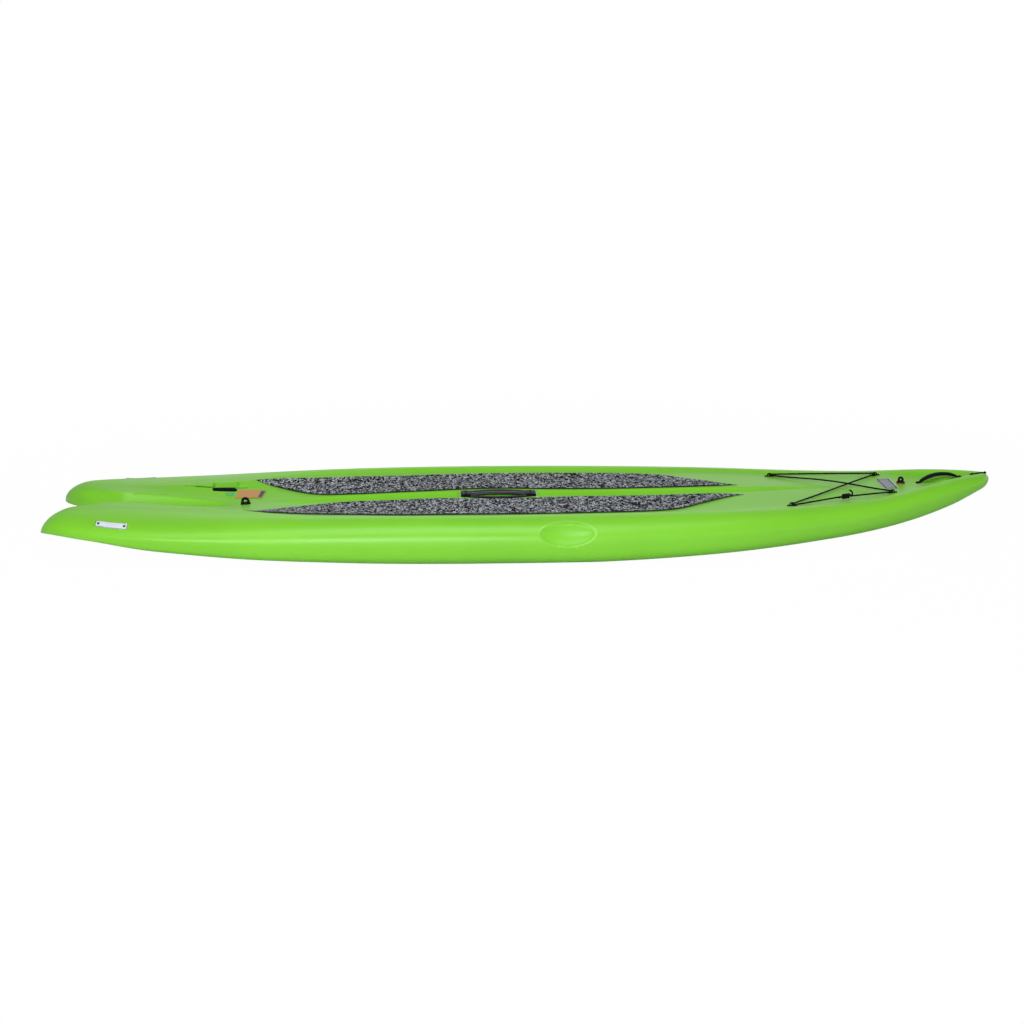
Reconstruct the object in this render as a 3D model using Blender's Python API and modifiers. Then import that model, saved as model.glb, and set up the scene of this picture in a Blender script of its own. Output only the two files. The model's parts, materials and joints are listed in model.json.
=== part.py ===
"""Rigid stand-up paddle board: a moulded shell over a foam core, with its deck fittings.

Frame: +X towards the bow, +Y to port, +Z up. The origin is under the middle of the board,
at the height of the lowest point of its bottom. All sizes are in metres.
"""
import math

import bmesh
import bpy
import numpy as np
from mathutils import Matrix, Vector

# Overall sizes of the hull
LENGTH = 2.957
BEAM = 0.914
THICKNESS = 0.147
WALL = 0.004
FOAM_GAP = 0.0005
FOAM_CLEARANCE = FOAM_GAP + 0.0006
INSET_STEP = 0.002
INNER_POINT = 0.03

# Rounding of the two tail hulls and of the nose, in plan and in profile
TAIL_PLAN_ROUND = 0.15
TAIL_TOP_ROUND = 0.09
NOSE_PLAN_ROUND = 0.04
NOSE_TOP_ROUND = 0.022
RAIL_POWER = 2.2

# Clearances
GAP = 0.0003
SEAT_DEPTH = 0.0008
SEAT_MARGIN = 0.0006
PAD_GAP = 0.0007

# Deck pads
PAD_THICKNESS = 0.0045

# Centre carry handle
HANDLE_STATION = -0.0561
FRAME_LENGTH = 0.238
FRAME_WIDTH = 0.120
FRAME_END_WIDTH = 0.062
FRAME_THICKNESS = 0.004
MOUTH_LENGTH = 0.170
MOUTH_WIDTH = 0.082
MOUTH_END_WIDTH = 0.040
POCKET_MARGIN = 0.004
POCKET_DEPTH = 0.050
BLOCK_LENGTH = (FRAME_LENGTH - MOUTH_LENGTH) / 2 - 0.004
BLOCK_WIDTH = FRAME_END_WIDTH - 0.006
BLOCK_RISE = 0.0035
GRIP_HEIGHT = 0.0115
GRIP_WIDTH = 0.020
GRIP_BOW = 0.003

# Bow handle
BOW_HANDLE_STATION = 0.8925
BOW_HANDLE_LENGTH = 0.140
BOW_HANDLE_WIDTH = 0.023
BOW_HANDLE_RISE = 0.0245
BOW_HANDLE_THICKNESS = 0.010
BOW_FOOT_LENGTH = 0.014
BOW_FOOT_THICKNESS = 0.003
BOW_SCOOP_LENGTH = 0.106
BOW_SCOOP_WIDTH = 0.056
BOW_SCOOP_DEPTH = 0.026

# Hand scoops in the rails
SIDE_SCOOP_STATION = 0.0727
SIDE_SCOOP_LENGTH = 0.168
SIDE_SCOOP_HEIGHT = 0.083
SIDE_SCOOP_DEPTH = 0.020
SIDE_SCOOP_TILT = 0.45
SIDE_SCOOP_Z_SHARE = 0.768

# Folding fins and their wells
FIN_STATION = -0.629
FIN_Y = 0.160
WELL_AFT = 0.157
WELL_FORE = 0.044
WELL_WALL = 0.006
FIN_THICKNESS = 0.009
LEVER_THICKNESS = 0.014
LEVER_TOP = 0.0275
LEVER_NOSE = 0.0095
LEVER_PROUD = 0.0005
LEVER_FORE = 0.0095
LEVER_AFT = 0.0625
LEVER_END_ROOM = 0.0045
FIN_PIVOT_DEPTH = LEVER_TOP + 0.002
HUB_RADIUS = 0.0085
WELL_WIDTH = LEVER_THICKNESS + 0.004
FINGER_AFT = LEVER_AFT + LEVER_END_ROOM
FINGER_FORE = LEVER_FORE + LEVER_END_ROOM
FINGER_CORNER = 0.008
FINGER_INBOARD = 0.029
FINGER_OUTBOARD = 0.040
FINGER_FLOOR = 0.0075
PIN_RADIUS = 0.003
PIN_ROOM = 0.0003
PIN_BITE = 0.0045

# Vent plug
VENT_STATION = 0.8103
VENT_HEAD_RADIUS = 0.0135
VENT_HEAD_THICKNESS = 0.004
VENT_SHANK_RADIUS = 0.006
VENT_SHANK_LENGTH = 0.013
VENT_BORE_RADIUS = VENT_SHANK_RADIUS + 0.0006
VENT_RING_SECTION = 0.0021
VENT_RING_RADIUS = VENT_HEAD_RADIUS - VENT_RING_SECTION
VENT_TAB_LENGTH = 0.019
VENT_TAB_HEIGHT = 0.017
VENT_TAB_THICKNESS = 0.005
VENT_TAB_HOLE = 0.0027

# Deck cord
CORD_RADIUS = 0.0025
CORD_REST = 0.0004
CORD_SIDE_ROOM = 0.0021
CORD_TURN = 0.0085
CORD_CLEARANCE = 0.0009
KNOT_TURNS = 4
KNOT_GAP = 0.0014
KNOT_SHARE = 0.53
KNOT_REST = 0.0027

# Pad eyes that hold the deck cord
EYE_REAR_STATION = 0.5502
EYE_REAR_Y = 0.2145
EYE_FRONT_STATION = 0.7731
EYE_FRONT_Y = 0.1295
EYE_LENGTH = 0.0306
EYE_WIDTH = 0.013
EYE_CORNER_SHARE = 0.42
EYE_BASE = 0.0025
EYE_WIRE = 0.0020
EYE_SPAN = CORD_RADIUS + EYE_WIRE + CORD_SIDE_ROOM
EYE_SCREW_X = EYE_SPAN + 0.0053
EYE_SCREW_HEAD = 0.0029
EYE_SCREW_RADIUS = 0.0014
CORD_LIFT = GAP + EYE_BASE + CORD_REST + CORD_RADIUS
EYE_HEIGHT = CORD_LIFT + CORD_RADIUS + 2 * EYE_WIRE
KNOT_PITCH = 2 * CORD_RADIUS + KNOT_GAP
KNOT_LIFT = 3 * CORD_RADIUS + CORD_CLEARANCE + KNOT_REST - CORD_LIFT

# Leash eye at the stern
LEASH_STATION = -0.5945
LEASH_LENGTH = 0.031
LEASH_WIDTH = 0.029
LEASH_SCREW_Y = 0.0092
LEASH_BASE = 0.0035
LEASH_WIRE = 0.0042
LEASH_RADIUS = 0.0092
LEASH_HEIGHT = 0.0224

# Nose eye
NOSE_EYE_IN = 0.0095
NOSE_EYE_LENGTH = 0.0505
NOSE_EYE_WIDTH = 0.012
NOSE_EYE_STRAP = 0.0025
NOSE_EYE_RING = 0.0034
NOSE_EYE_HOLE = 0.0015

# Plates and the tag
PLATE_GAP = 0.0006
BADGE_STATION = -0.8455
BADGE_LENGTH = 0.098
BADGE_Y_SHARE = 0.88
BADGE_SLOPE = 0.10
BADGE_WIDTH = 0.033
BADGE_THICKNESS = 0.0012
RIVET_INSET = 0.0085
RIVET_HEAD = 0.0028
RIVET_RADIUS = 0.0014
RIVET_HOLE = RIVET_RADIUS + 0.0004
RIVET_DEPTH = 0.0024
BOW_PLATE_STATION = 0.7805
BOW_PLATE_LENGTH = 0.046
BOW_PLATE_WIDTH = 0.144
BOW_PLATE_THICKNESS = 0.0010
TAG_GAP = 0.0011
TAG_LENGTH = 0.088
TAG_WIDTH = 0.073
TAG_TURN = -0.11
TAG_THICKNESS = 0.0008
TAG_STATION = -0.5891
TAG_Y = 0.1005
TIE_LENGTH = 0.025
TIE_WIDTH = 0.018
TIE_AWAY = 0.021
TIE_RADIUS = 0.0011

# Screws
SCREW_RADIUS = 0.0019
SCREW_ROOM = 0.0005
SCREW_HEAD_RADIUS = 0.0042
SCREW_HEAD_HEIGHT = 0.0022
SCREW_LENGTH = 0.0105
BOSS_RADIUS = 0.007
BOSS_DEPTH = SCREW_LENGTH + 0.005

HALF_LENGTH = LENGTH / 2
HALF_BEAM = BEAM / 2
TAIL_TIP_Y = 0.497 * HALF_BEAM
TAIL_TIP_Z = 0.535 * THICKNESS
NOSE_Z = 1.17 * THICKNESS
NOTCH_STATION = -0.859
NOTCH_X = NOTCH_STATION * HALF_LENGTH
TUNNEL_HALF = 0.32 * HALF_BEAM
GROOVE_RAMP = 0.012


def station(share):
    """The X of a station given as a share of half the board's length."""
    return share * HALF_LENGTH


def fair_curve(points):
    """A natural cubic spline through (station, value) points, bent like a batten round pins."""
    xs, ys = np.array(points, float).T
    gaps = np.diff(xs)
    count = len(xs)
    system = np.eye(count)
    load = np.zeros(count)
    for i in range(1, count - 1):
        system[i, i - 1:i + 2] = gaps[i - 1], 2 * (gaps[i - 1] + gaps[i]), gaps[i]
        load[i] = 6 * ((ys[i + 1] - ys[i]) / gaps[i] - (ys[i] - ys[i - 1]) / gaps[i - 1])
    bend = np.linalg.solve(system, load)

    def value(x):
        x = min(max(x, xs[0]), xs[-1])
        i = min(int(np.searchsorted(xs, x, side="right")) - 1, count - 2)
        h = gaps[i]
        a = (xs[i + 1] - x) / h
        b = (x - xs[i]) / h
        curved = (a ** 3 - a) * bend[i] + (b ** 3 - b) * bend[i + 1]
        return float(a * ys[i] + b * ys[i + 1] + curved * h * h / 6)

    return value


# Lines of the hull, from the stern (-1) to the bow (1). Widths are shares of half the beam and
# heights are shares of the thickness.
half_beam_line = fair_curve([
    (-1, 0.67), (-0.88, 0.795), (-0.676, 0.908), (-0.473, 0.963), (-0.27, 0.989), (-0.07, 1.0),
    (0.135, 0.985), (0.338, 0.919), (0.541, 0.788), (0.676, 0.656), (0.812, 0.47), (0.913, 0.285),
    (0.974, 0.149), (1, 0.092)])
rail_line = fair_curve([
    (-1, 0.42), (-0.88, 0.44), (-0.717, 0.38), (-0.595, 0.30), (-0.406, 0.25), (-0.1, 0.234),
    (0.277, 0.235), (0.42, 0.205), (0.6, 0.19), (0.8, 0.15), (0.9, 0.15), (1, 0.09)])
crown_line = fair_curve([
    (-1, 0.93), (-0.88, 0.94), (-0.717, 0.937), (-0.595, 0.945), (-0.406, 0.98), (-0.19, 0.997),
    (0, 0.998), (0.27, 0.995), (0.541, 0.99), (0.66, 1.008), (0.771, 1.078), (0.866, 1.203),
    (0.92, 1.260), (0.954, 1.280), (1, 1.288)])
keel_line = fair_curve([
    (-1, 0.58), (-0.93, 0.57), (-0.859, 0.49), (-0.788, 0.376), (-0.717, 0.300), (-0.65, 0.235),
    (-0.59, 0.182), (-0.5, 0.124), (-0.425, 0.086), (-0.34, 0.045), (-0.26, 0.018), (-0.13, 0), (0.13, 0),
    (0.30, 0.045), (0.473, 0.103), (0.6, 0.173), (0.646, 0.205), (0.737, 0.30), (0.831, 0.467),
    (0.88, 0.595), (0.93, 0.76), (0.967, 0.92), (1, 1.05)])
beam_height_line = fair_curve([
    (-1, 0.64), (-0.88, 0.625), (-0.744, 0.575), (-0.541, 0.51), (-0.27, 0.49), (0, 0.503), (0.27, 0.524),
    (0.541, 0.612), (0.676, 0.707), (0.812, 0.87), (0.913, 1.02), (0.974, 1.12), (1, 1.17)])
flat_line = fair_curve([
    (-1, 0.85), (-0.7, 0.74), (-0.3, 0.57), (0, 0.525), (0.3, 0.5), (0.6, 0.3), (0.8, 0.12), (1, 0.05)])
bilge_power_line = fair_curve([
    (-1, 4.5), (-0.7, 4.0), (-0.3, 3.1), (0, 3.0), (0.3, 3.0), (0.8, 2.2), (1, 2.0)])
tunnel_line = fair_curve([
    (-1, 0), (-0.93, 0.04), (-0.859, 0.11), (-0.7, 0.11), (-0.5, 0.07), (-0.3, 0.02), (-0.2, 0), (1, 0)])

# Lines of the deck inside its crown: depth of the dish, how far out it reaches, how sharp its rim
# is, how much its floor is cambered, and the groove along the middle.
dish_line = fair_curve([
    (-1, 0), (-0.92, 0), (-0.798, 0.07), (-0.717, 0.14), (-0.676, 0.175), (-0.63, 0.208),
    (-0.595, 0.197), (-0.473, 0.184), (-0.406, 0.16), (-0.338, 0.143), (-0.27, 0.126), (-0.19, 0.10),
    (-0.1, 0.092), (0.1, 0.089), (0.25, 0.080), (0.338, 0.058), (0.4, 0.041), (0.46, 0.028), (0.55, 0.018),
    (0.61, 0.012), (0.70, 0.012), (0.77, 0.020), (0.85, 0.105), (0.93, 0.08), (0.97, 0.03), (1, 0)])
dish_half_line = fair_curve([
    (-1, 0.34), (-0.88, 0.35), (-0.717, 0.36), (-0.656, 0.416), (-0.609, 0.44), (-0.541, 0.57),
    (-0.473, 0.69), (-0.406, 0.74), (-0.338, 0.78), (-0.2, 0.81), (0, 0.81), (1, 0.81)])
dish_power_line = fair_curve([
    (-1, 2), (-0.6, 2), (-0.541, 1.7), (-0.473, 1.7), (-0.406, 2.7), (-0.338, 3.8), (-0.27, 6),
    (-0.19, 9), (-0.1, 10), (0.25, 10), (0.338, 9), (0.55, 8), (0.65, 6), (0.8, 3), (1, 2)])
camber_line = fair_curve([
    (-1, 0), (0, 0), (0.15, 0), (0.28, 0.02), (0.4, 0.045), (0.55, 0.09), (0.65, 0.07), (0.77, 0.03),
    (0.85, 0), (1, 0)])
groove_half_line = fair_curve([
    (-1, 0.14), (-0.88, 0.15), (-0.798, 0.145), (-0.717, 0.125), (-0.609, 0.05), (-0.541, 0.052),
    (-0.37, 0.12), (-0.1, 0.12), (0.3, 0.12), (0.466, 0.077), (0.69, 0.04), (1, 0.03)])
groove_depth_line = fair_curve([
    (-1, 0.27), (-0.859, 0.25), (-0.798, 0.20), (-0.717, 0.13), (-0.656, 0.06), (-0.609, 0), (-0.55, 0),
    (-0.50, 0.025), (-0.44, 0.062), (-0.37, 0.088), (-0.1, 0.092), (0.3, 0.090), (0.466, 0.062),
    (0.6, 0.025), (0.69, 0), (1, 0)])

# Edges of a deck pad, as shares of half the beam
pad_outer_line = fair_curve([
    (-0.585, 0.477), (-0.541, 0.515), (-0.47, 0.549), (-0.38, 0.577), (-0.19, 0.619), (-0.03, 0.632),
    (0.15, 0.613), (0.27, 0.570), (0.32, 0.508), (0.354, 0.415), (0.38, 0.345), (0.407, 0.274),
    (0.436, 0.205), (0.4655, 0.15)])
pad_inner_line = fair_curve([
    (-0.585, 0.477), (-0.521, 0.324), (-0.47, 0.212), (-0.41, 0.142), (-0.35, 0.124), (-0.2, 0.130),
    (-0.14, 0.151), (-0.0561, 0.172), (0.02, 0.151), (0.07, 0.135), (0.25, 0.131), (0.4, 0.133),
    (0.4655, 0.15)])


def smooth(t):
    """Goes from 0 to 1 with level ends."""
    t = min(max(t, 0.0), 1.0)
    return t * t * (3 - 2 * t)


def round_end(distance, length):
    """A quarter round that rises from 0 at an end to 1 at the given length from it."""
    t = min(max(distance / length, 0.0), 1.0)
    return math.sqrt(1 - (1 - t) ** 2)


def notch_edge(x):
    """Inner edge of a tail hull. It is 0 forward of the notch between the two."""
    u = (NOTCH_X - x) / (HALF_LENGTH + NOTCH_X)
    if u <= 0:
        return 0.0
    return TAIL_TIP_Y * (1 - (1 - min(u, 1.0) ** 1.2) ** 0.5)


def half_beam(x):
    side = half_beam_line(x / HALF_LENGTH) * HALF_BEAM
    if x < 0:
        return TAIL_TIP_Y + (side - TAIL_TIP_Y) * round_end(HALF_LENGTH + x, TAIL_PLAN_ROUND)
    return side * round_end(HALF_LENGTH - x, NOSE_PLAN_ROUND)


def crown_half(x, inner):
    """Where the deck rolls over into the rail."""
    most = 0.5 if x < NOTCH_X else 0.85
    rail = min(rail_line(x / HALF_LENGTH) * HALF_BEAM, most * (half_beam(x) - inner))
    return half_beam(x) - rail


def end_blend(z, x):
    """Draws a height in to the tips."""
    if x < 0:
        return TAIL_TIP_Z + (z - TAIL_TIP_Z) * round_end(HALF_LENGTH + x, TAIL_TOP_ROUND)
    return NOSE_Z + (z - NOSE_Z) * round_end(HALF_LENGTH - x, NOSE_TOP_ROUND)


def groove_span(x, inner):
    """Half-width of the middle groove, or the width of a tail hull's inner dome."""
    return min(groove_half_line(x / HALF_LENGTH) * HALF_BEAM, 0.7 * (crown_half(x, inner) - inner))


def flat_half(x, inner):
    """Outer edge of the flat of the bottom."""
    return max(flat_line(x / HALF_LENGTH) * half_beam(x), inner + 0.3 * (half_beam(x) - inner))


def deck_z(x, y, inner=None):
    """Height of the upper surface, from the middle of the deck to the widest point of the rail."""
    share = x / HALF_LENGTH
    y = abs(y)
    if inner is None:
        inner = notch_edge(x)
    crown = crown_half(x, inner)
    top = crown_line(share) * THICKNESS
    z = top
    reach = min(dish_half_line(share) * HALF_BEAM, crown)
    if y < reach:
        dish = max(dish_line(share), 0) * THICKNESS
        camber = max(camber_line(share), 0) * THICKNESS
        out = y / reach
        z = top - dish - camber * out ** 2 + (dish + camber) * out ** dish_power_line(share)
    s = max((y - inner) / groove_span(x, inner), 0.0)
    if s < 1:
        tail = smooth((NOTCH_X - x) / 0.15)
        flat = smooth((abs(x - station(HANDLE_STATION)) - FRAME_LENGTH / 2 - 0.002) / GROOVE_RAMP)
        depth = max(groove_depth_line(share), 0) * THICKNESS * flat
        whole = z - keel_line(share) * THICKNESS
        depth += (whole - depth) * smooth((NOTCH_X - x) / 0.2) * 0.95
        hollow = 1 - s * s
        dome = 1 - math.sqrt(1 - (1 - s) ** 2)
        z -= depth * ((1 - tail) * hollow + tail * dome)
    if y > crown:
        u = min((y - crown) / (half_beam(x) - crown), 1.0)
        low = beam_height_line(share) * THICKNESS
        z = low + (top - low) * (1 - u ** RAIL_POWER) ** (1 / RAIL_POWER)
    return end_blend(z, x)


def bottom_z(x, y, inner=None):
    """Height of the under surface."""
    share = x / HALF_LENGTH
    y = abs(y)
    if inner is None:
        inner = notch_edge(x)
    z = max(keel_line(share), 0) * THICKNESS
    if y < TUNNEL_HALF:
        z += max(tunnel_line(share), 0) * THICKNESS * (1 - (y / TUNNEL_HALF) ** 2) ** 2
    flat = flat_half(x, inner)
    if y > flat:
        low = beam_height_line(share) * THICKNESS
        power = bilge_power_line(share)
        u = min((y - flat) / (half_beam(x) - flat), 1.0)
        z += (low - z) * (1 - (1 - u ** power) ** (1 / power))
    return end_blend(z, x)


def inner_height(surface, x, y, inner, inset, way):
    """The surface moved in by the inset, square to itself, as a height at y."""
    wide = half_beam(x)
    heights = []
    for i in range(-4, 5):
        d = inset * math.sin(math.radians(22.5 * i))
        z = surface(x, min(max(abs(y + d), inner), wide), inner)
        heights.append(way * (z - way * math.sqrt(max(inset ** 2 - d ** 2, 0))))
    return way * min(heights)


def section(x, inset=0.0):
    """Half a cross-section as (y, z) points: over the deck, round the rail and back under."""
    inner = notch_edge(x - 3 * inset)

    def top(y):
        return inner_height(deck_z, x, y, inner, inset, 1) if inset else deck_z(x, y, inner)

    def low(y):
        return inner_height(bottom_z, x, y, inner, inset, -1) if inset else bottom_z(x, y, inner)

    outer = half_beam(x)
    wide = outer - inset
    near = inner
    while inset and inner and near < wide and (near < inner + inset or top(near) < low(near) + INSET_STEP):
        near += INSET_STEP
    scale = (wide - near) / (outer - inner)
    lip = near + groove_span(x, inner) * scale
    crown = near + (crown_half(x, inner) - inner) * scale
    flat = near + (flat_half(x, inner) - inner) * scale
    across = [near + (lip - near) * t for t in ((0, 0.6) if inset else (0, 0.4, 0.75))]
    shares = (0, 0.35, 0.6, 0.8, 1) if inset else (0, 0.16, 0.35, 0.6, 0.8, 0.91, 1)
    across += [lip + (crown - lip) * t for t in shares]
    turn = INNER_TURN if inset else OUTER_TURN
    across += [crown + (wide - crown) * math.sin(math.radians(a)) for a in turn]
    under = [flat + (wide - flat) * math.cos(math.radians(a)) for a in turn[:-1]]
    under += [near + (flat - near) * t for t in (1, 0.7, 0.4, 0.2, 0)]
    return [(y, top(y)) for y in across] + [(y, low(y)) for y in under]


OUTER_TURN = (23, 46, 68, 90)
INNER_TURN = (30, 60, 90)
TAIL_STATIONS = [-0.996, -0.984, -0.966, -0.942, -0.914, -0.884]
BODY_STATIONS = [
    -0.859, -0.83, -0.795, -0.757, -0.717, -0.675, -0.633, -0.59, -0.54, -0.48, -0.41, -0.33, -0.24,
    -0.147, -0.1379, -0.07, 0.0257, 0.035, 0.115, 0.2, 0.29, 0.38, 0.46, 0.54, 0.61, 0.675, 0.735, 0.79, 0.838,
    0.88, 0.915, 0.944, 0.966, 0.983, 0.994]
COARSE_STATIONS = (-0.48, -0.33, -0.1379, -0.07, 0.0257, 0.115, 0.2, 0.38)


def clear_scene():
    for old in list(bpy.data.objects):
        bpy.data.objects.remove(old, do_unlink=True)


def collection(name):
    made = bpy.data.collections.new(name)
    bpy.context.scene.collection.children.link(made)
    return made


clear_scene()
BOARD = collection("paddle_board")
CUTTERS = collection("cutters")
RECESSES = collection("recesses")
WALLS = collection("recess_walls")
FOAM_ROOM = collection("foam_room")


def material(name, colour, roughness, metallic=0.0):
    made = bpy.data.materials.new(name)
    made.use_nodes = True
    shader = made.node_tree.nodes["Principled BSDF"]
    shader.inputs["Base Color"].default_value = (*colour, 1.0)
    shader.inputs["Roughness"].default_value = roughness
    shader.inputs["Metallic"].default_value = metallic
    made.diffuse_color = (*colour, 1.0)
    return made


MATERIALS = {
    "green_shell": material("green_shell", (0.22, 0.58, 0.03), 0.35),
    "white_foam": material("white_foam", (0.85, 0.85, 0.83), 0.9),
    "speckled_pad": material("speckled_pad", (0.17, 0.18, 0.19), 0.85),
    "black_plastic": material("black_plastic", (0.02, 0.02, 0.023), 0.4),
    "steel": material("steel", (0.55, 0.55, 0.56), 0.3, 1.0),
    "black_steel": material("black_steel", (0.03, 0.03, 0.032), 0.4, 1.0),
    "black_cord": material("black_cord", (0.012, 0.012, 0.013), 0.8),
    "seal": material("seal", (0.45, 0.14, 0.04), 0.6),
    "pale_plate": material("pale_plate", (0.75, 0.78, 0.84), 0.3),
    "grey_plate": material("grey_plate", (0.30, 0.34, 0.35), 0.35),
    "card": material("card", (0.52, 0.29, 0.12), 0.9),
    "tie": material("tie", (0.08, 0.38, 0.30), 0.7),
}


def link(name, mesh, home, paint=None):
    made = bpy.data.objects.new(name, mesh)
    home.objects.link(made)
    if home is not BOARD:
        made.hide_render = True
        made.display_type = "WIRE"
    if paint:
        mesh.materials.clear()
        mesh.materials.append(MATERIALS[paint])
    return made


def from_bmesh(name, shape, home, paint=None):
    mesh = bpy.data.meshes.new(name)
    shape.to_mesh(mesh)
    shape.free()
    return link(name, mesh, home, paint)


def smooth_shade(thing, angle=35):
    thing.data.shade_smooth()
    thing.data.set_sharp_from_angle(angle=math.radians(angle))
    return thing


def boolean(thing, other, operation="DIFFERENCE"):
    modifier = thing.modifiers.new(operation.lower(), "BOOLEAN")
    modifier.operation = operation
    modifier.solver = "EXACT"
    if isinstance(other, bpy.types.Collection):
        modifier.operand_type = "COLLECTION"
        modifier.collection = other
    else:
        modifier.object = other
    return thing


def box(name, size, home, place=Matrix(), bevel=0.0, paint=None, segments=2):
    """A box centred on its place, with its upright edges rounded when bevel is given."""
    shape = bmesh.new()
    bmesh.ops.create_cube(shape, size=1.0, matrix=Matrix.Diagonal((*size, 1.0)))
    if bevel:
        upright = [e for e in shape.edges if abs((e.verts[0].co - e.verts[1].co).z) > size[2] / 2]
        bmesh.ops.bevel(shape, geom=upright, offset=bevel, segments=segments, profile=0.5, affect="EDGES")
    made = from_bmesh(name, shape, home, paint)
    made.matrix_world = place
    return made


def cylinder(name, radius, length, home, place=Matrix(), sides=12, paint=None):
    """A cylinder along its place's Z, centred on it."""
    shape = bmesh.new()
    bmesh.ops.create_cone(
        shape, cap_ends=True, segments=sides, radius1=radius, radius2=radius, depth=length)
    made = from_bmesh(name, shape, home, paint)
    made.matrix_world = place
    return made


def ellipsoid(name, size, home, place=Matrix(), rings=8, sides=16):
    shape = bmesh.new()
    bmesh.ops.create_uvsphere(
        shape, u_segments=sides, v_segments=rings, radius=0.5, matrix=Matrix.Diagonal((*size, 1.0)))
    made = from_bmesh(name, shape, home)
    made.matrix_world = place
    return made


def turned(name, profile, home, place=Matrix(), steps=12, paint=None):
    """A solid of revolution about its place's Z, from a profile that runs down its outer side."""
    mesh = bpy.data.meshes.new(name)
    edges = [(i, i + 1) for i in range(len(profile) - 1)]
    mesh.from_pydata([(r, 0, z) for r, z in profile], edges, [])
    made = link(name, mesh, home, paint)
    spin = made.modifiers.new("turn", "SCREW")
    spin.steps = steps
    spin.render_steps = steps
    spin.use_merge_vertices = True
    spin.merge_threshold = 0.00005
    made.matrix_world = place
    return made


def ring_section(radius, section_radius, sides=6):
    """The closed profile of a ring."""
    angles = [math.tau * i / sides for i in range(sides)]
    points = [(radius + section_radius * math.cos(a), -section_radius * math.sin(a)) for a in angles]
    return points + points[:1]


def as_mesh(thing):
    """Replaces a curve object by a mesh of the same shape, with its caps welded on."""
    seen = thing.evaluated_get(bpy.context.evaluated_depsgraph_get())
    mesh = bpy.data.meshes.new_from_object(seen)
    shape = bmesh.new()
    shape.from_mesh(mesh)
    bmesh.ops.remove_doubles(shape, verts=shape.verts, dist=0.00001)
    bmesh.ops.recalc_face_normals(shape, faces=shape.faces)
    shape.to_mesh(mesh)
    shape.free()
    home = thing.users_collection[0]
    name = thing.name
    place = thing.matrix_world.copy()
    paint = [slot.material for slot in thing.material_slots]
    bpy.data.objects.remove(thing, do_unlink=True)
    made = link(name, mesh, home)
    mesh.materials.clear()
    for one in paint:
        mesh.materials.append(one)
    made.matrix_world = place
    return made


def outline_solid(name, outline, thickness, home, place=Matrix(), paint=None):
    """A flat outline in its place's XY plane, given a thickness about that plane."""
    curve = bpy.data.curves.new(name, "CURVE")
    curve.dimensions = "2D"
    curve.fill_mode = "BOTH"
    curve.extrude = thickness / 2
    line = curve.splines.new("POLY")
    line.points.add(len(outline) - 1)
    for point, (x, y) in zip(line.points, outline):
        point.co = (x, y, 0, 1)
    line.use_cyclic_u = True
    made = bpy.data.objects.new(name, curve)
    home.objects.link(made)
    if paint:
        curve.materials.append(MATERIALS[paint])
    made.matrix_world = place
    bpy.context.view_layer.update()
    return as_mesh(made)


def tube(name, points, radius, home, place=Matrix(), paint=None, resolution=2):
    """A round tube with closed ends along a line of points."""
    curve = bpy.data.curves.new(name, "CURVE")
    curve.dimensions = "3D"
    curve.bevel_depth = radius
    curve.bevel_resolution = resolution
    curve.use_fill_caps = True
    line = curve.splines.new("POLY")
    line.points.add(len(points) - 1)
    for point, co in zip(line.points, points):
        point.co = (*co, 1)
    made = bpy.data.objects.new(name, curve)
    home.objects.link(made)
    if paint:
        curve.materials.append(MATERIALS[paint])
    made.matrix_world = place
    bpy.context.view_layer.update()
    return as_mesh(made)


def arc(centre, radius, start, end, steps):
    """Points of an arc, between two angles in degrees."""
    angles = [math.radians(start + (end - start) * i / steps) for i in range(steps + 1)]
    return [(centre[0] + radius * math.cos(a), centre[1] + radius * math.sin(a)) for a in angles]


def deck_place(x, y, sink=0.0, upright=False):
    """A frame on the deck: Z square to it, X forward along it."""
    step = 0.004
    normal = Vector((0, 0, 1))
    if not upright:
        slope_x = (deck_z(x + step, y) - deck_z(x - step, y)) / (2 * step)
        slope_y = (deck_z(x, y + step) - deck_z(x, y - step)) / (2 * step) if y else 0.0
        normal = Vector((-slope_x, -slope_y, 1)).normalized()
    forward = (Vector((1, 0, 0)) - normal * normal.x).normalized()
    across = normal.cross(forward)
    turn = Matrix((forward, across, normal)).transposed().to_4x4()
    at = Vector((x, y, deck_z(x, y))) - normal * sink
    return Matrix.Translation(at) @ turn


def shift(x=0.0, y=0.0, z=0.0):
    return Matrix.Translation((x, y, z))


ABOUT_X = Matrix.Rotation(math.radians(90), 4, "X")


def loft(name, sections, home, paint=None):
    """Half a hull from (x, points, closed) sections, mirrored across the middle.

    The first and the last section are single points.
    """
    shape = bmesh.new()
    rows = []
    for x, points, closed in sections:
        rows.append(([shape.verts.new((x, y, z)) for y, z in points], closed))
    for (row, closed), (after, _) in zip(rows, rows[1:]):
        if len(row) == 1 or len(after) == 1:
            tip = (row if len(row) == 1 else after)[0]
            edge = after if len(row) == 1 else row
            for a, b in zip(edge, edge[1:]):
                shape.faces.new((tip, a, b))
            if len(row) == 1:
                shape.faces.new((tip, edge[-1], edge[0]))
            continue
        strips = list(zip(row, row[1:], after, after[1:]))
        if closed:
            strips.append((row[-1], row[0], after[-1], after[0]))
        for a, b, c, d in strips:
            shape.faces.new((a, c, d))
            shape.faces.new((a, d, b))
    bmesh.ops.recalc_face_normals(shape, faces=shape.faces)
    made = from_bmesh(name, shape, home, paint)
    mirror = made.modifiers.new("mirror", "MIRROR")
    mirror.use_axis = (False, True, False)
    mirror.use_clip = True
    mirror.merge_threshold = 0.00005
    return made


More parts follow.
